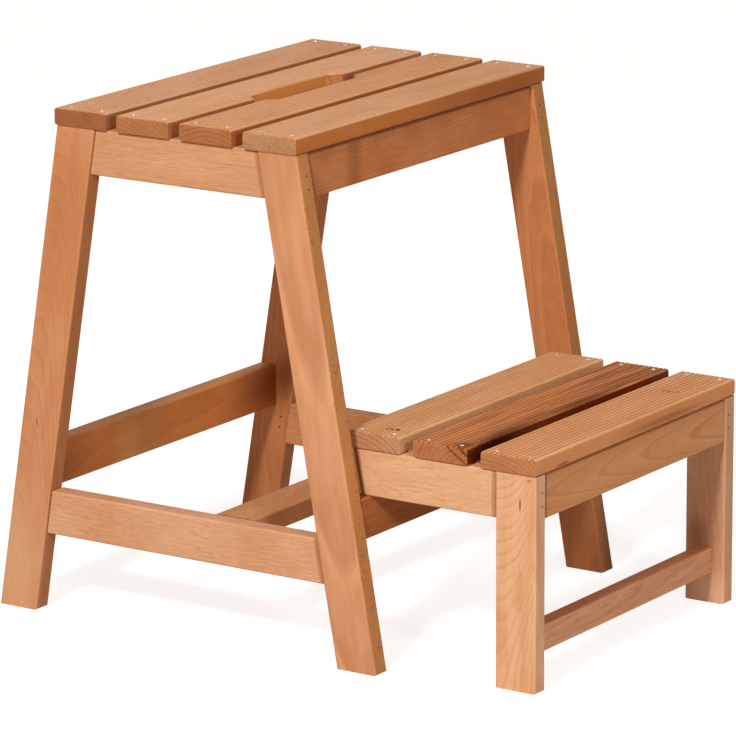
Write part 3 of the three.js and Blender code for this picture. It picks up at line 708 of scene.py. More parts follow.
def finishMesh(shape, name):
    bmesh.ops.recalc_face_normals(shape, faces=shape.faces)
    bmesh.ops.scale(shape, vec=(mm, mm, mm), verts=shape.verts)
    mesh = bpy.data.meshes.new(name)
    shape.to_mesh(mesh)
    shape.free()
    return addObject(name, mesh)


def addObject(name, data):
    made = bpy.data.objects.new(name, data)
    scene.collection.objects.link(made)
    return made


def roundEdges(shape, edges, radius, segments=4):
    bmesh.ops.recalc_face_normals(shape, faces=shape.faces)
    bmesh.ops.bevel(shape, geom=edges, offset=radius, segments=segments, profile=0.5, affect="EDGES")


def joinLoops(shape, first, second):
    for i in range(len(first)):
        following = (i + 1) % len(first)
        shape.faces.new((first[i], first[following], second[following], second[i]))


def valueAt(limit, height):
    return limit(height) if callable(limit) else limit


def blockShape(xRange, yRange, zRange, rounding=(), radius=timber["edgeRadius"]):
    # xRange may hold functions of height, for ends that lean; rounding lists (axis, {axis: level}):
    # the edges along the first axis, at these ends of the others
    shape = bmesh.new()
    corners = {}
    for i in range(2):
        for j in range(2):
            for k in range(2):
                z = zRange[k]
                corners[i, j, k] = shape.verts.new((valueAt(xRange[i], z), yRange[j], z))
    for axis in range(3):
        for level in range(2):
            loop = [(0, 0), (1, 0), (1, 1), (0, 1)]
            keys = [pair[:axis] + (level,) + pair[axis:] for pair in loop]
            shape.faces.new([corners[key] for key in keys])
    chosen = []
    for axis, levels in rounding:
        for pair in ((0, 0), (0, 1), (1, 0), (1, 1)):
            first, second = (pair[:axis] + (level,) + pair[axis:] for level in (0, 1))
            if all(first[other] == level for other, level in levels.items()):
                chosen.append(shape.edges.get((corners[first], corners[second])))
    if chosen:
        roundEdges(shape, chosen, radius)
    return shape


def turnedShape(profile, sidesCount, axis, place):
    # profile holds (radius, distance) pairs along the axis, closed by its first and last radius 0
    shape = bmesh.new()
    turn = axisVectors["z"].rotation_difference(axis).to_matrix()
    rings = []
    for radius, distance in profile:
        ring = []
        for i in range(sidesCount if radius else 1):
            angle = 2 * math.pi * (i + 0.5) / sidesCount
            spot = Vector((radius * math.cos(angle), radius * math.sin(angle), distance))
            ring.append(shape.verts.new(turn @ spot + place))
        rings.append(ring)
    for first, second in zip(rings, rings[1:]):
        if len(first) == len(second):
            joinLoops(shape, first, second)
            continue
        for i in range(sidesCount):
            following = (i + 1) % sidesCount
            if len(first) == 1:
                shape.faces.new((first[0], second[i], second[following]))
            else:
                shape.faces.new((first[i], first[following], second[0]))
    return shape


def outlineShape(outline, yRange):
    # a closed outline in x and z, drawn out along y
    shape = bmesh.new()
    layers = [[shape.verts.new((x, y, z)) for x, z in outline] for y in yRange]
    for layer in layers:
        shape.faces.new(layer)
    joinLoops(shape, *layers)
    return shape


def gathered(shapes):
    # several closed shapes in one mesh
    total = bmesh.new()
    for shape in shapes:
        bmesh.ops.recalc_face_normals(shape, faces=shape.faces)
        mesh = bpy.data.meshes.new("gathered")
        shape.to_mesh(mesh)
        shape.free()
        total.from_mesh(mesh)
        bpy.data.meshes.remove(mesh)
    return finishMesh(total, "tool")


def bake(piece):
    # the evaluated shape becomes the piece's own mesh, and its modifiers go
    bpy.context.view_layer.update()
    evaluated = piece.evaluated_get(bpy.context.evaluated_depsgraph_get())
    mesh = bpy.data.meshes.new_from_object(evaluated)
    piece.modifiers.clear()
    old = piece.data
    piece.data = mesh
    mesh.name = piece.name
    bpy.data.meshes.remove(old)


def removeTool(tool):
    mesh = tool.data
    bpy.data.objects.remove(tool)
    bpy.data.meshes.remove(mesh)


def combine(piece, shapes, operation):
    if not shapes:
        return
    tool = gathered(shapes)
    modifier = piece.modifiers.new(operation, "BOOLEAN")
    modifier.operation = operation
    modifier.solver = "EXACT"
    modifier.object = tool
    modifier.use_self = len(shapes) > 1
    bake(piece)
    removeTool(tool)


def smoothShading(piece, angle):
    mesh = piece.data
    mesh.polygons.foreach_set("use_smooth", [True] * len(mesh.polygons))
    mesh.set_sharp_from_angle(angle=math.radians(angle))
    modifier = piece.modifiers.new("even", "WEIGHTED_NORMAL")
    modifier.keep_sharp = True
    bake(piece)


def setPiece(piece, body, nodes, material):
    piece.data.materials.clear()
    piece.data.materials.append(material)
    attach(piece, body)
    if nodes:
        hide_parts(*nodes)


def makeBoard(node, body, shape, tenons, cuts, grooves=None):
    piece = finishMesh(shape, "wood_" + node)
    combine(piece, tenons, "UNION")
    combine(piece, cuts, "DIFFERENCE")
    if grooves:
        applyGroup(piece, grooveRow, grooves)
    smoothShading(piece, timber["smoothAngle"])
    setPiece(piece, body, [node], woodMaterial(node))


# how far the outer edges of the stool's legs stand from its middle, at the floor and at the top
splay = {"front": 204.5, "rear": 200, "top": 126, "height": 445, "width": 40}
seatMiddle = (nodeBox("seat_slat_1")[0][0] + nodeBox("seat_slat_4")[0][1]) / 2
legInnerY = nodeBox("front_leg_right")[1][0]
stepLegInnerY = nodeBox("step_leg_right")[1][0]
stepLegBack, stepLegFront = nodeBox("step_leg_right")[0]


def legLean(end):
    return (splay[end] - splay["top"]) / splay["height"]


def legOuterAt(end, height):
    return seatMiddle + ends[end] * (splay[end] - legLean(end) * height)


def legInnerAt(end, height):
    across = splay["width"] * math.hypot(1, legLean(end))
    return legOuterAt(end, height) - ends[end] * across


def middleBand(limits, size, grow=0.0):
    middle = sum(limits) / 2
    return (middle - size / 2 - grow, middle + size / 2 + grow)


def tenonBands(first, second, grow=0.0):
    # the tenon is centred in the rail's thickness, with a shoulder above and below
    thin, wide = timber["tenonThickness"], 2 * timber["tenonShoulder"]
    if first[1] - first[0] < second[1] - second[0]:
        return middleBand(first, thin, grow), middleBand(second, second[1] - second[0] - wide, grow)
    return middleBand(first, first[1] - first[0] - wide, grow), middleBand(second, thin, grow)


# screws: where they are, and the holes that they fill
screwSizes = {
    "headRadius": 2.1, "headDepth": 1.7, "rim": 0.4, "ease": 0.25, "radius": 1.3, "length": 30, "tip": 6,
    "recessReach": 1.35, "recessWidth": 0.45, "recessDepth": 1.1, "sides": 24,
    "recessTaperAlong": 0.45, "recessTaperAcross": 0.7, "recessTop": 1, "boardMargin": 1, "seed": 11,
}


def screwPlaces(prefix):
    places = []
    for node in sorted(frame["nodes"]):
        if node.startswith(prefix):
            (xLow, xHigh), (yLow, yHigh), (_, top) = nodeBox(node)
            places.append(Vector(((xLow + xHigh) / 2, (yLow + yHigh) / 2, top)))
    return places


def screwHole(place):
    s = screwSizes
    profile = [
        (0, -s["length"] - slack),
        (s["radius"] + slack, s["tip"] - s["length"]),
        (s["radius"] + slack, -s["headDepth"] - slack),
        (s["headRadius"] + slack, -s["rim"] - slack),
        (s["headRadius"] + slack, overrun),
        (0, overrun),
    ]
    return turnedShape(profile, s["sides"], axisVectors["z"], place)


def holesIn(places, node):
    # for the screws that stand over this board, or within a small margin of it
    margin = screwSizes["boardMargin"]
    limits = nodeBox(node)[:2]
    inside = []
    for place in places:
        if all(low - margin < part < high + margin for part, (low, high) in zip(place, limits)):
            inside.append(screwHole(place))
    return inside


seatScrews = screwPlaces("seat_screw_")
stepScrews = screwPlaces("step_screw_")

# rails
sideRails = ["side_apron", "side_stretcher"]
crossRails = ["front_apron", "rear_apron", "front_cross_rail", "rear_cross_rail", "rest_rail"]
stepCross = ["step_apron", "step_stretcher"]
# where the rails that run across meet a leg or stretcher
railFaceY = {name: legInnerY for name in crossRails}
railFaceY["rest_rail"] = nodeBox("side_stretcher_right")[1][0]
railFaceY.update({name: stepLegInnerY for name in stepCross})


def sideRailLimits(grow):
    # the ends of a side rail follow the inner edges of the two leaning legs
    return (lambda z: legInnerAt("rear", z) - grow, lambda z: legInnerAt("front", z) + grow)


def tenonShape(node, grow=0.0):
    xRange, yRange, zRange = nodeBox(node)
    if node in railFaceY:
        xBand, zBand = tenonBands(xRange, zRange, grow)
        return blockShape(xBand, (yRange[0] - grow, yRange[1] + grow), zBand)
    yBand, zBand = tenonBands(yRange, zRange, grow)
    reach = timber["sideTenon"]
    limits = sideRailLimits(reach + grow)
    if node.startswith("step_rail"):
        limits = (stepLegBack - reach, stepLegBack + reach + grow)
    return blockShape(limits, yBand, zBand)


def makeSideRail(node):
    _, yRange, zRange = nodeBox(node)
    shape = blockShape(sideRailLimits(-timber["jointGap"]), yRange, zRange, [(0, {})])
    cuts = holesIn(seatScrews, node) if "apron" in node else [tenonShape("rest_rail", slack)]
    makeBoard(node, "stool", shape, [tenonShape(node)], cuts)


def makeCrossRail(node, body, screws):
    xRange, _, zRange = nodeBox(node)
    face = railFaceY[node] - timber["jointGap"]
    shape = blockShape(xRange, (-face, face), zRange, [(1, {})])
    makeBoard(node, body, shape, [tenonShape(node)], holesIn(screws, node))


# pivots
pivotSizes = {
    "headRadius": 6.5, "headThickness": 3, "headEase": 1, "headEaseSteps": 4, "boltRadius": 3,
    "boltChamfer": 0.6, "socketRadius": 2.3, "socketDepth": 1.8, "socketCone": 0.4, "socketOverrun": 2,
    "socketSides": 6, "insertRadius": 5, "insertLength": 11, "tubeEase": 0.4, "sides": 48,
    "knuckleRadius": 10.5, "knuckleSteps": 24, "tail": 1.9,
}
hinge = Vector(frame["joints"][0]["pos_m"]) / mm
boltHole = pivotSizes["boltRadius"] + slack


def aroundHinge(profile, side, turns=pivotSizes["sides"]):
    # distances in the profile run from the stool's middle to the given side
    return turnedShape(profile, turns, Vector((0, side, 0)), Vector((hinge.x, 0, hinge.z)))


def boreProfile(radius, start, end):
    return [(0, start), (radius, start), (radius, end), (0, end)]


def railBoltHole(side):
    face = nodeBox("step_rail_right")[1]
    return aroundHinge(boreProfile(boltHole, face[0] - overrun, face[1] + overrun), side)


def insertHole(side):
    radius = pivotSizes["insertRadius"] + slack
    deep = legInnerY + pivotSizes["insertLength"] + 2 * slack
    return aroundHinge(boreProfile(radius, legInnerY - overrun, deep), side)


# legs: rounding along their height and around their feet
legRounding = [(2, {}), (1, {2: 0})]


def makeStoolLeg(end, sideName):
    node = f"{end}_leg_{sideName}"
    _, yRange, zRange = nodeBox(node)
    edges = (lambda z: legInnerAt(end, z), lambda z: legOuterAt(end, z))
    cuts = [tenonShape(f"{kind}_{sideName}", slack) for kind in sideRails]
    cuts += [tenonShape(f"{end}_{kind}", slack) for kind in ("apron", "cross_rail")]
    cuts += holesIn(seatScrews, node)
    if end == "front":
        cuts.append(insertHole(sides[sideName]))
    makeBoard(node, "stool", blockShape(edges, yRange, zRange, legRounding), [], cuts)


def makeStepLeg(sideName):
    node = f"step_leg_{sideName}"
    cuts = [tenonShape(f"step_rail_{sideName}", slack)]
    cuts += [tenonShape(name, slack) for name in stepCross]
    cuts += holesIn(stepScrews, node)
    makeBoard(node, "step", blockShape(*nodeBox(node), legRounding), [], cuts)


def makeStepRail(sideName):
    # its back end is a round knuckle about the bolt, so that it swings clear of the cross rail
    node = f"step_rail_{sideName}"
    _, yRange, (bottom, top) = nodeBox(node)
    radius, tail, steps = (pivotSizes[key] for key in ("knuckleRadius", "tail", "knuckleSteps"))
    start = math.acos(-tail / radius)  # where the top face meets the round; it ends at the bottom
    outline = []
    for i in range(steps + 1):
        angle = start + (1.5 * math.pi - start) * i / steps
        outline.append((hinge.x + radius * math.cos(angle), hinge.z + radius * math.sin(angle)))
    shoulder = stepLegBack - timber["jointGap"]
    outline += [(shoulder, bottom), (shoulder, top), (hinge.x - tail, top)]
    shape = outlineShape(outline, yRange)
    rim = []  # both outlines, without their upright edge at the shoulder
    for edge in shape.edges:
        first, second = (vertex.co for vertex in edge.verts)
        if first.y == second.y and min(first.x, second.x) < shoulder - slack:
            rim.append(edge)
    roundEdges(shape, rim, timber["edgeRadius"])
    cuts = [railBoltHole(sides[sideName])] + holesIn(stepScrews, node)
    makeBoard(node, "step", shape, [tenonShape(node)], cuts)


# grooved slats: a Geometry Nodes row of tapered cutters ploughs the grooves
slatSizes = {
    "edgeRadius": 2.2, "endChamfer": 0.8, "endChamferSteps": 2, "sharpAngle": 60, "grooveCount": 10,
    "groovePitch": 5, "grooveMouth": 2.6, "grooveFloor": 1.2, "grooveDepth": 1, "handHoleLength": 140,
    "handHoleWidth": 31, "handHoleUnderEase": 1, "handHoleTopEase": 2, "handHoleEaseSteps": 5,
    "handHoleTurns": 24, "handHoleOverrun": 3,
}


def endGroup(tree, result, geometry, material):
    real = makeNode(tree, "GeometryNodeRealizeInstances", {"Geometry": geometry})[0]
    inputs = {"Geometry": real, "Material": material}
    feed(tree, result, {"Geometry": makeNode(tree, "GeometryNodeSetMaterial", inputs)[0]})


def makeGrooveRow():
    inputs = {
        "Geometry": "Geometry", "Count": 10, "Pitch": 0.005, "Mouth": 0.0026, "Floor": 0.0012,
        "Depth": 0.001, "Length": 0.5, "Middle": (0.0, 0.0, 0.0), "Material": "Material",
    }
    tree, given, result = newGroup("grooveRow", "GeometryNodeTree", inputs, {"Geometry": "Geometry"})
    # a cube of unit width, with half its height above the board, widened to the mouth at the surface
    size = joinVector(tree, 1.0, given["Length"], product(tree, given["Depth"], 2.0))
    cube = makeNode(tree, "GeometryNodeMeshCube", {"Size": size})["Mesh"]
    x, y, z = splitVector(tree, makeNode(tree, "GeometryNodeInputPosition")[0])
    slope = calc(tree, "DIVIDE", calc(tree, "SUBTRACT", given["Mouth"], given["Floor"]), given["Depth"])
    width = calc(tree, "MULTIPLY_ADD", z, slope, given["Mouth"])
    inputs = {"Geometry": cube, "Position": joinVector(tree, product(tree, x, width), y, z)}
    cutter = makeNode(tree, "GeometryNodeSetPosition", inputs)[0]
    # a line of points about the middle carries the cutters
    steps = calc(tree, "SUBTRACT", given["Count"], 1.0)
    back = joinVector(tree, product(tree, steps, -0.5, given["Pitch"]))
    start = vectorCalc(tree, "ADD", given["Middle"], back)
    gap = joinVector(tree, given["Pitch"])
    inputs = {"Count": given["Count"], "Start Location": start, "Offset": gap}
    line = makeNode(tree, "GeometryNodeMeshLine", inputs)[0]
    row = makeNode(tree, "GeometryNodeInstanceOnPoints", {"Points": line, "Instance": cutter})[0]
    row = makeNode(tree, "GeometryNodeRealizeInstances", {"Geometry": row})[0]
    inputs = {0: given["Geometry"], 1: row}
    plough = makeNode(tree, "GeometryNodeMeshBoolean", inputs, operation="DIFFERENCE", solver="EXACT")
    endGroup(tree, result, plough[0], given["Material"])
    return tree


grooveRow = makeGrooveRow()


def applyGroup(piece, group, values):
    modifier = piece.modifiers.new("nodes", "NODES")
    modifier.node_group = group
    for item in group.interface.items_tree:
        if item.item_type == "SOCKET" and item.in_out == "INPUT" and item.name in values:
            modifier[item.identifier] = values[item.name]
    bake(piece)


def handHoleShape(low, high):
    # a slot with round ends, wider where its edges are rounded
    s = slatSizes
    radius, half = s["handHoleWidth"] / 2, s["handHoleLength"] / 2
    straight = half - radius
    under, top, steps = s["handHoleUnderEase"], s["handHoleTopEase"], s["handHoleEaseSteps"]
    angles = [math.pi / 2 * i / steps for i in range(steps + 1)]
    profile = [(low - s["handHoleOverrun"], under)]
    profile += [(low + under * (1 - math.cos(angle)), under * (1 - math.sin(angle))) for angle in angles]
    profile += [(high - top * (1 - math.sin(angle)), top * (1 - math.cos(angle))) for angle in angles]
    profile.append((high + s["handHoleOverrun"], top))
    shape = bmesh.new()
    loops = []
    for height, grow in profile:
        loop = []
        for end in (1, -1):
            for i in range(s["handHoleTurns"] + 1):
                angle = math.pi * i / s["handHoleTurns"]
                x = seatMiddle + end * (radius + grow) * math.cos(angle)
                y = end * (straight + (radius + grow) * math.sin(angle))
                loop.append(shape.verts.new((x, y, height)))
        loops.append(loop)
    for first, second in zip(loops, loops[1:]):
        joinLoops(shape, first, second)
    shape.faces.new(loops[0])
    shape.faces.new(loops[-1])
    return shape


def makeSlat(node, body, screws, handHole=False):
    s = slatSizes
    xRange, yRange, zRange = nodeBox(node)
    shape = blockShape(xRange, yRange, zRange, [(1, {}), (0, {2: 1})], s["edgeRadius"])
    sharp = math.radians(s["sharpAngle"])
    corners = [edge for edge in shape.edges if edge.calc_face_angle(0) > sharp]
    roundEdges(shape, corners, s["endChamfer"], s["endChamferSteps"])
    cuts = holesIn(screws, node)
    if handHole:
        cuts.append(handHoleShape(*zRange))
    makeBoard(node, body, shape, [], cuts, {
        "Count": s["grooveCount"], "Pitch": s["groovePitch"] * mm, "Mouth": s["grooveMouth"] * mm,
        "Floor": s["grooveFloor"] * mm, "Depth": s["grooveDepth"] * mm,
        "Length": (yRange[1] - yRange[0] + 2 * overrun) * mm,
        "Middle": (sum(xRange) / 2 * mm, 0.0, zRange[1] * mm),
    })


for sideName in sides:
    for kind in sideRails:
        makeSideRail(f"{kind}_{sideName}")
for node in crossRails:
    makeCrossRail(node, "stool", seatScrews)
for node in stepCross:
    makeCrossRail(node, "step", stepScrews)
print("rails made")
for sideName in sides:
    for end in ends:
        makeStoolLeg(end, sideName)
    makeStepLeg(sideName)
    makeStepRail(sideName)
print("legs made")
for number in (1, 2, 3, 4):
    makeSlat(f"seat_slat_{number}", "stool", seatScrews, handHole=number in (2, 3))
for number in (1, 2, 3):
    makeSlat(f"step_slat_{number}", "step", stepScrews)
print("slats made")


# metal and nylon
metalAngle = 30  # edges that turn by more stay crisp
weldDistance = 1e-7  # metres, between points that are one
steelNoise = {"scale": 900.0, "detail": 3.0, "dullFrom": 0.35, "dullTo": 0.75, "dullRoughness": 0.18}
nylon = {"noiseScale": 400.0, "light": (0.80, 0.76, 0.66), "dark": (0.70, 0.66, 0.56), "roughness": 0.5}


def surfaceNoise(tree, scale, detail=2.0):
    source = makeNode(tree, "ShaderNodeTexCoord")["Object"]
    inputs = {"Vector": source, "Scale": scale, "Detail": detail}
    return makeNode(tree, "ShaderNodeTexNoise", inputs)[0]


def steelMaterial(name, colour, roughness, dirt):
    # dirt is the share of the colour that is left in the dull patches
    s = steelNoise
    material, tree, shader = newMaterial(name)
    noise = surfaceNoise(tree, s["scale"], s["detail"])
    dull = smoothRange(tree, noise, s["dullFrom"], s["dullTo"])
    darker = tuple(channel * dirt for channel in colour)
    feed(tree, shader.inputs, {
        "Base Color": blendColours(tree, dull, (*colour, 1.0), (*darker, 1.0)),
        "Roughness": calc(tree, "MULTIPLY_ADD", dull, s["dullRoughness"], roughness),
        "Metallic": 1.0,
    })
    return material


screwSteel = steelMaterial("screw_steel", (0.80, 0.78, 0.75), roughness=0.25, dirt=0.6)
boltSteel = steelMaterial("bolt_steel", (0.30, 0.31, 0.33), roughness=0.35, dirt=0.75)
bradSteel = steelMaterial("brad_steel", (0.055, 0.035, 0.028), roughness=0.8, dirt=0.6)
insertSteel = steelMaterial("insert_steel", (0.72, 0.68, 0.55), roughness=0.3, dirt=0.8)


def nylonMaterial():
    material, tree, shader = newMaterial("spacer_nylon")
    noise = surfaceNoise(tree, nylon["noiseScale"])
    tint = blendColours(tree, noise, (*nylon["light"], 1.0), (*nylon["dark"], 1.0))
    feed(tree, shader.inputs, {"Base Color": tint, "Roughness": nylon["roughness"]})
    return material


def makeScattered():
    # copies one shape to each point, along that point's direction, spun at random about it
    inputs = {"Geometry": "Geometry", "Fastener": "Object", "Seed": 1, "Material": "Material"}
    outputs = {"Geometry": "Geometry"}
    tree, given, result = newGroup("fastenersAtPoints", "GeometryNodeTree", inputs, outputs)
    shape = makeNode(tree, "GeometryNodeObjectInfo", {"Object": given["Fastener"]})["Geometry"]
    kind, inputs = "GeometryNodeInputNamedAttribute", {"Name": "direction"}
    facing = makeNode(tree, kind, inputs, data_type="FLOAT_VECTOR")[0]
    aim = makeNode(tree, "FunctionNodeAlignRotationToVector", {"Vector": facing}, axis="Z")[0]
    inputs = {"Max": 2 * math.pi, "Seed": given["Seed"]}
    spin = makeNode(tree, "FunctionNodeRandomValue", inputs, data_type="FLOAT")
    spun = joinVector(tree, z=next(out for out in spin if out.enabled))
    inputs = {0: aim, 1: makeNode(tree, "FunctionNodeEulerToRotation", {0: spun})[0]}
    turned = makeNode(tree, "FunctionNodeRotateRotation", inputs, rotation_space="LOCAL")[0]
    inputs = {"Points": given["Geometry"], "Instance": shape, "Rotation": turned}
    copies = makeNode(tree, "GeometryNodeInstanceOnPoints", inputs)[0]
    endGroup(tree, result, copies, given["Material"])
    return tree


fastenersAtPoints = makeScattered()


def scatter(name, places, directions, fastener, seed, material):
    mesh = bpy.data.meshes.new(name)
    mesh.from_pydata([place * mm for place in places], [], [])
    attribute = mesh.attributes.new("direction", "FLOAT_VECTOR", "POINT")
    attribute.data.foreach_set("vector", [part for vector in directions for part in vector])
    piece = addObject(name, mesh)
    applyGroup(piece, fastenersAtPoints, {"Fastener": fastener, "Seed": seed, "Material": material})
    smoothShading(piece, metalAngle)
    return piece


def makeScrewShape():
    s = screwSizes
    profile = [
        (0, -s["length"]),
        (s["radius"], s["tip"] - s["length"]),
        (s["radius"], -s["headDepth"]),
        (s["headRadius"], -s["rim"]),
        (s["headRadius"], -s["ease"]),
        (s["headRadius"] - s["ease"], 0),
        (0, 0),
    ]
    screw = finishMesh(turnedShape(profile, s["sides"], axisVectors["z"], Vector()), "screwShape")
    reach, width = s["recessReach"], s["recessWidth"]
    along, across = s["recessTaperAlong"], s["recessTaperAcross"]
    arms = []
    for halfX, halfY, taperX, taperY in ((reach, width, along, across), (width, reach, across, along)):
        arm = blockShape((-halfX, halfX), (-halfY, halfY), (-s["recessDepth"], s["recessTop"]))
        for vertex in arm.verts:
            if vertex.co.z < 0:
                vertex.co.x *= taperX
                vertex.co.y *= taperY
        arms.append(arm)
    combine(screw, arms, "DIFFERENCE")
    return screw


screwShape = makeScrewShape()
up = axisVectors["z"]
for name, body, places in (("seat_screws", "stool", seatScrews), ("step_screws", "step", stepScrews)):
    screws = scatter(name, places, [up] * len(places), screwShape, screwSizes["seed"], screwSteel)
    nodes = [node for node in frame["nodes"] if node.startswith(name[:-1] + "_")]
    setPiece(screws, body, nodes, screwSteel)
removeTool(screwShape)
print("screws made")

# pairs of brads that pin the tenons; heights and places as in the photograph
bradSizes = {
    "radius": 0.9, "proud": 0.12, "length": 12, "taper": 2, "shaft": 0.7, "crown": 0.8, "headDepth": 1,
    "sides": 12, "seed": 3,
}
bradPairs = {
    "apronInFrontLeg": {"y": 186.0, "heights": (426.0, 414.5)},
    "apronInStepLeg": {"y": 156.4, "heights": (174.1, 162.6)},
    "sideRailInLeg": {"fromEdge": 9.0, "fromMiddle": (-5.0, 5.0)},
}


def makeBradShape():
    b = bradSizes
    shaft = b["radius"] * b["shaft"]
    profile = [
        (0, -b["length"]), (shaft, b["taper"] - b["length"]), (shaft, -b["headDepth"]),
        (b["radius"], -b["headDepth"]), (b["radius"], b["proud"] / 2),
        (b["radius"] * b["crown"], b["proud"]), (0, b["proud"]),
    ]
    return finishMesh(turnedShape(profile, b["sides"], up, Vector()), "bradShape")


def bradPlaces():
    stool, step = [], []
    front, foot, rail = (bradPairs[key] for key in ("apronInFrontLeg", "apronInStepLeg", "sideRailInLeg"))
    for sideName, side in sides.items():
        inward = Vector((0, -side, 0))
        for end, sign in ends.items():
            facing = Vector((sign, 0, legLean(end))).normalized()
            for height in front["heights"]:
                stool.append((Vector((legOuterAt(end, height), side * front["y"], height)), facing))
            for kind in sideRails:
                middle = sum(nodeBox(f"{kind}_{sideName}")[2]) / 2
                for offset in rail["fromMiddle"]:
                    height = middle + offset
                    x = legInnerAt(end, height) + sign * rail["fromEdge"]
                    stool.append((Vector((x, side * legInnerY, height)), inward))
        for height in foot["heights"]:
            step.append((Vector((stepLegFront, side * foot["y"], height)), axisVectors["x"]))
    return stool, step


bradShape = makeBradShape()
for name, body, spots in zip(("stool_brads", "step_brads"), ("stool", "step"), bradPlaces()):
    brads = scatter(name, *zip(*spots), bradShape, bradSizes["seed"], bradSteel)
    setPiece(brads, body, [], bradSteel)
removeTool(bradShape)
print("brads made")


def alongHinge(name, profile, side, cuts=()):
    piece = finishMesh(aroundHinge(profile, side), name)
    combine(piece, list(cuts), "DIFFERENCE")
    smoothShading(piece, metalAngle)
    return piece


def makeBolt(name, side):
    p = pivotSizes
    start, end = nodeBox("pivot_bolt_right")[1]
    head, ease, steps = p["headRadius"], p["headEase"], p["headEaseSteps"]
    bolt, chamfer = p["boltRadius"], p["boltChamfer"]
    profile = [(0, start)]
    for i in range(steps + 1):
        angle = math.pi / 2 * i / steps
        profile.append((head - ease * (1 - math.sin(angle)), start + ease * (1 - math.cos(angle))))
    headEnd = start + p["headThickness"]
    profile += [(head, headEnd), (bolt, headEnd), (bolt, end - chamfer), (bolt - chamfer, end), (0, end)]
    socketEnd = start + p["socketDepth"]
    socket = boreProfile(p["socketRadius"], start - p["socketOverrun"], socketEnd)
    socket[-1] = (0, socketEnd + p["socketCone"])
    return alongHinge(name, profile, side, [aroundHinge(socket, side, p["socketSides"])])


def makeTube(name, node, outer, side):
    # a tube about the bolt, its ends eased, closed where its profile meets itself
    start, end = nodeBox(node)[1]
    ease = pivotSizes["tubeEase"]
    profile = [
        (boltHole, start), (outer - ease, start), (outer, start + ease), (outer, end - ease),
        (outer - ease, end), (boltHole, end), (boltHole, start),
    ]
    piece = alongHinge(name, profile, side)
    shape = bmesh.new()
    shape.from_mesh(piece.data)
    bmesh.ops.remove_doubles(shape, verts=shape.verts, dist=weldDistance)
    bmesh.ops.recalc_face_normals(shape, faces=shape.faces)
    shape.to_mesh(piece.data)
    shape.free()
    return piece


spacerNylon = nylonMaterial()
for sideName, side in sides.items():
    bolt = makeBolt(f"hinge_bolt_{sideName}", side)
    setPiece(bolt, "stool", [f"pivot_bolt_{sideName}"], boltSteel)
    spacer = makeTube(f"hinge_spacer_{sideName}", "pivot_spacer_right", pivotSizes["headRadius"], side)
    setPiece(spacer, "stool", [f"pivot_spacer_{sideName}"], spacerNylon)
    insert = makeTube(f"hinge_insert_{sideName}", "insert_nut_right", pivotSizes["insertRadius"], side)
    setPiece(insert, "stool", [f"insert_nut_{sideName}"], insertSteel)
print("pivots made")

# floor, light and camera: the floor's size in millimetres, places and lamp sizes in metres
white = (1.0, 1.0, 1.0, 1.0)
lightSetup = {
    "floorSize": 20000, "floorColour": (0.60, 0.60, 0.60), "floorGlow": 0.80,
    "ambient": 0.24, "ambientColour": (1.0, 0.88, 0.76), "target": (0.0, 0.0, 0.25),
    "lamps": {
        "key": {"place": (0.475, -3.0, 2.54), "size": 0.5, "watts": 88.0},
        "side": {"place": (3.05, -1.76, 1.5), "size": 0.5, "watts": 29.0},
    },
}


def seenItself(tree):
    # 1 on rays that show a surface, 0 on those that carry its light to others
    path = makeNode(tree, "ShaderNodeLightPath")
    seen = calc(tree, "ADD", path["Is Camera Ray"], path["Is Glossy Ray"])
    return calc(tree, "ADD", seen, path["Is Transmission Ray"], clamp=True)


def makeFloor():
    shape = bmesh.new()
    bmesh.ops.create_grid(shape, x_segments=1, y_segments=1, size=lightSetup["floorSize"])
    floor = finishMesh(shape, "floor")
    material, tree, shader = newMaterial("pale_floor")
    glow = calc(tree, "MULTIPLY", seenItself(tree), lightSetup["floorGlow"])
    feed(tree, shader.inputs, {
        "Base Color": (*lightSetup["floorColour"], 1.0), "Roughness": 1.0, "Specular IOR Level": 0.0,
        "Emission Color": white, "Emission Strength": glow,
    })
    floor.data.materials.append(material)


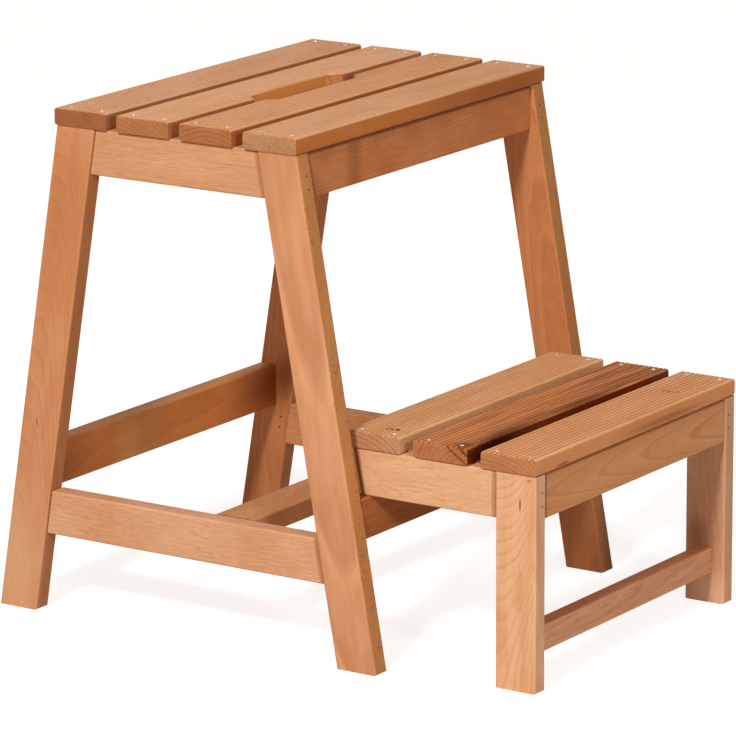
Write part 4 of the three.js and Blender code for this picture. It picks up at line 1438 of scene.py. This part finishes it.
def makeWorld():
    world = bpy.data.worlds.new("studio")
    scene.world = world
    world.use_nodes = True
    tree = world.node_tree
    tree.nodes.clear()
    strength = lightSetup["ambient"]
    seen = seenItself(tree)
    power = calc(tree, "MULTIPLY_ADD", seen, 1.0 - strength, strength)
    tint = blendColours(tree, seen, (*lightSetup["ambientColour"], 1.0), white)
    sky = makeNode(tree, "ShaderNodeBackground", {"Color": tint, "Strength": power})
    makeNode(tree, "ShaderNodeOutputWorld", {"Surface": sky[0]})


def makeLamp(name, place, size, watts):
    data = bpy.data.lights.new(name, "AREA")
    data.shape = "DISK"
    data.size = size
    data.energy = watts
    lamp = addObject(name, data)
    lamp.location = place
    lamp.rotation_euler = (Vector(lightSetup["target"]) - Vector(place)).to_track_quat("-Z", "Y").to_euler()


makeFloor()
makeWorld()
for name, values in lightSetup["lamps"].items():
    makeLamp(name, **values)

cameraView = {
    "place": (2.45831, -3.68471, 1.31418), "yaw": 33.76425, "pitch": -13.97064, "roll": -0.24293,
    "lens": 251.354, "sensor": 36.0, "shiftX": -0.002372, "shiftY": 0.000914, "near": 0.1, "far": 50,
}


def makeCamera():
    c = cameraView
    yaw, pitch, roll = (math.radians(c[key]) for key in ("yaw", "pitch", "roll"))
    forward = Vector((-math.sin(yaw) * math.cos(pitch), math.cos(yaw) * math.cos(pitch), math.sin(pitch)))
    right = Vector((math.cos(yaw), math.sin(yaw), 0))
    above = right.cross(forward)
    rolledRight = math.cos(roll) * right + math.sin(roll) * above
    rolledAbove = -math.sin(roll) * right + math.cos(roll) * above
    data = bpy.data.cameras.new("camera")
    data.lens = c["lens"]
    data.sensor_width = c["sensor"]
    data.shift_x = c["shiftX"]
    data.shift_y = c["shiftY"]
    data.clip_start = c["near"]
    data.clip_end = c["far"]
    camera = addObject("camera", data)
    turn = Matrix((rolledRight, rolledAbove, -forward)).transposed().to_4x4()
    camera.matrix_world = Matrix.Translation(c["place"]) @ turn
    scene.camera = camera


makeCamera()
print("floor, lamps and camera made")
scene.view_settings.view_transform = "Standard"
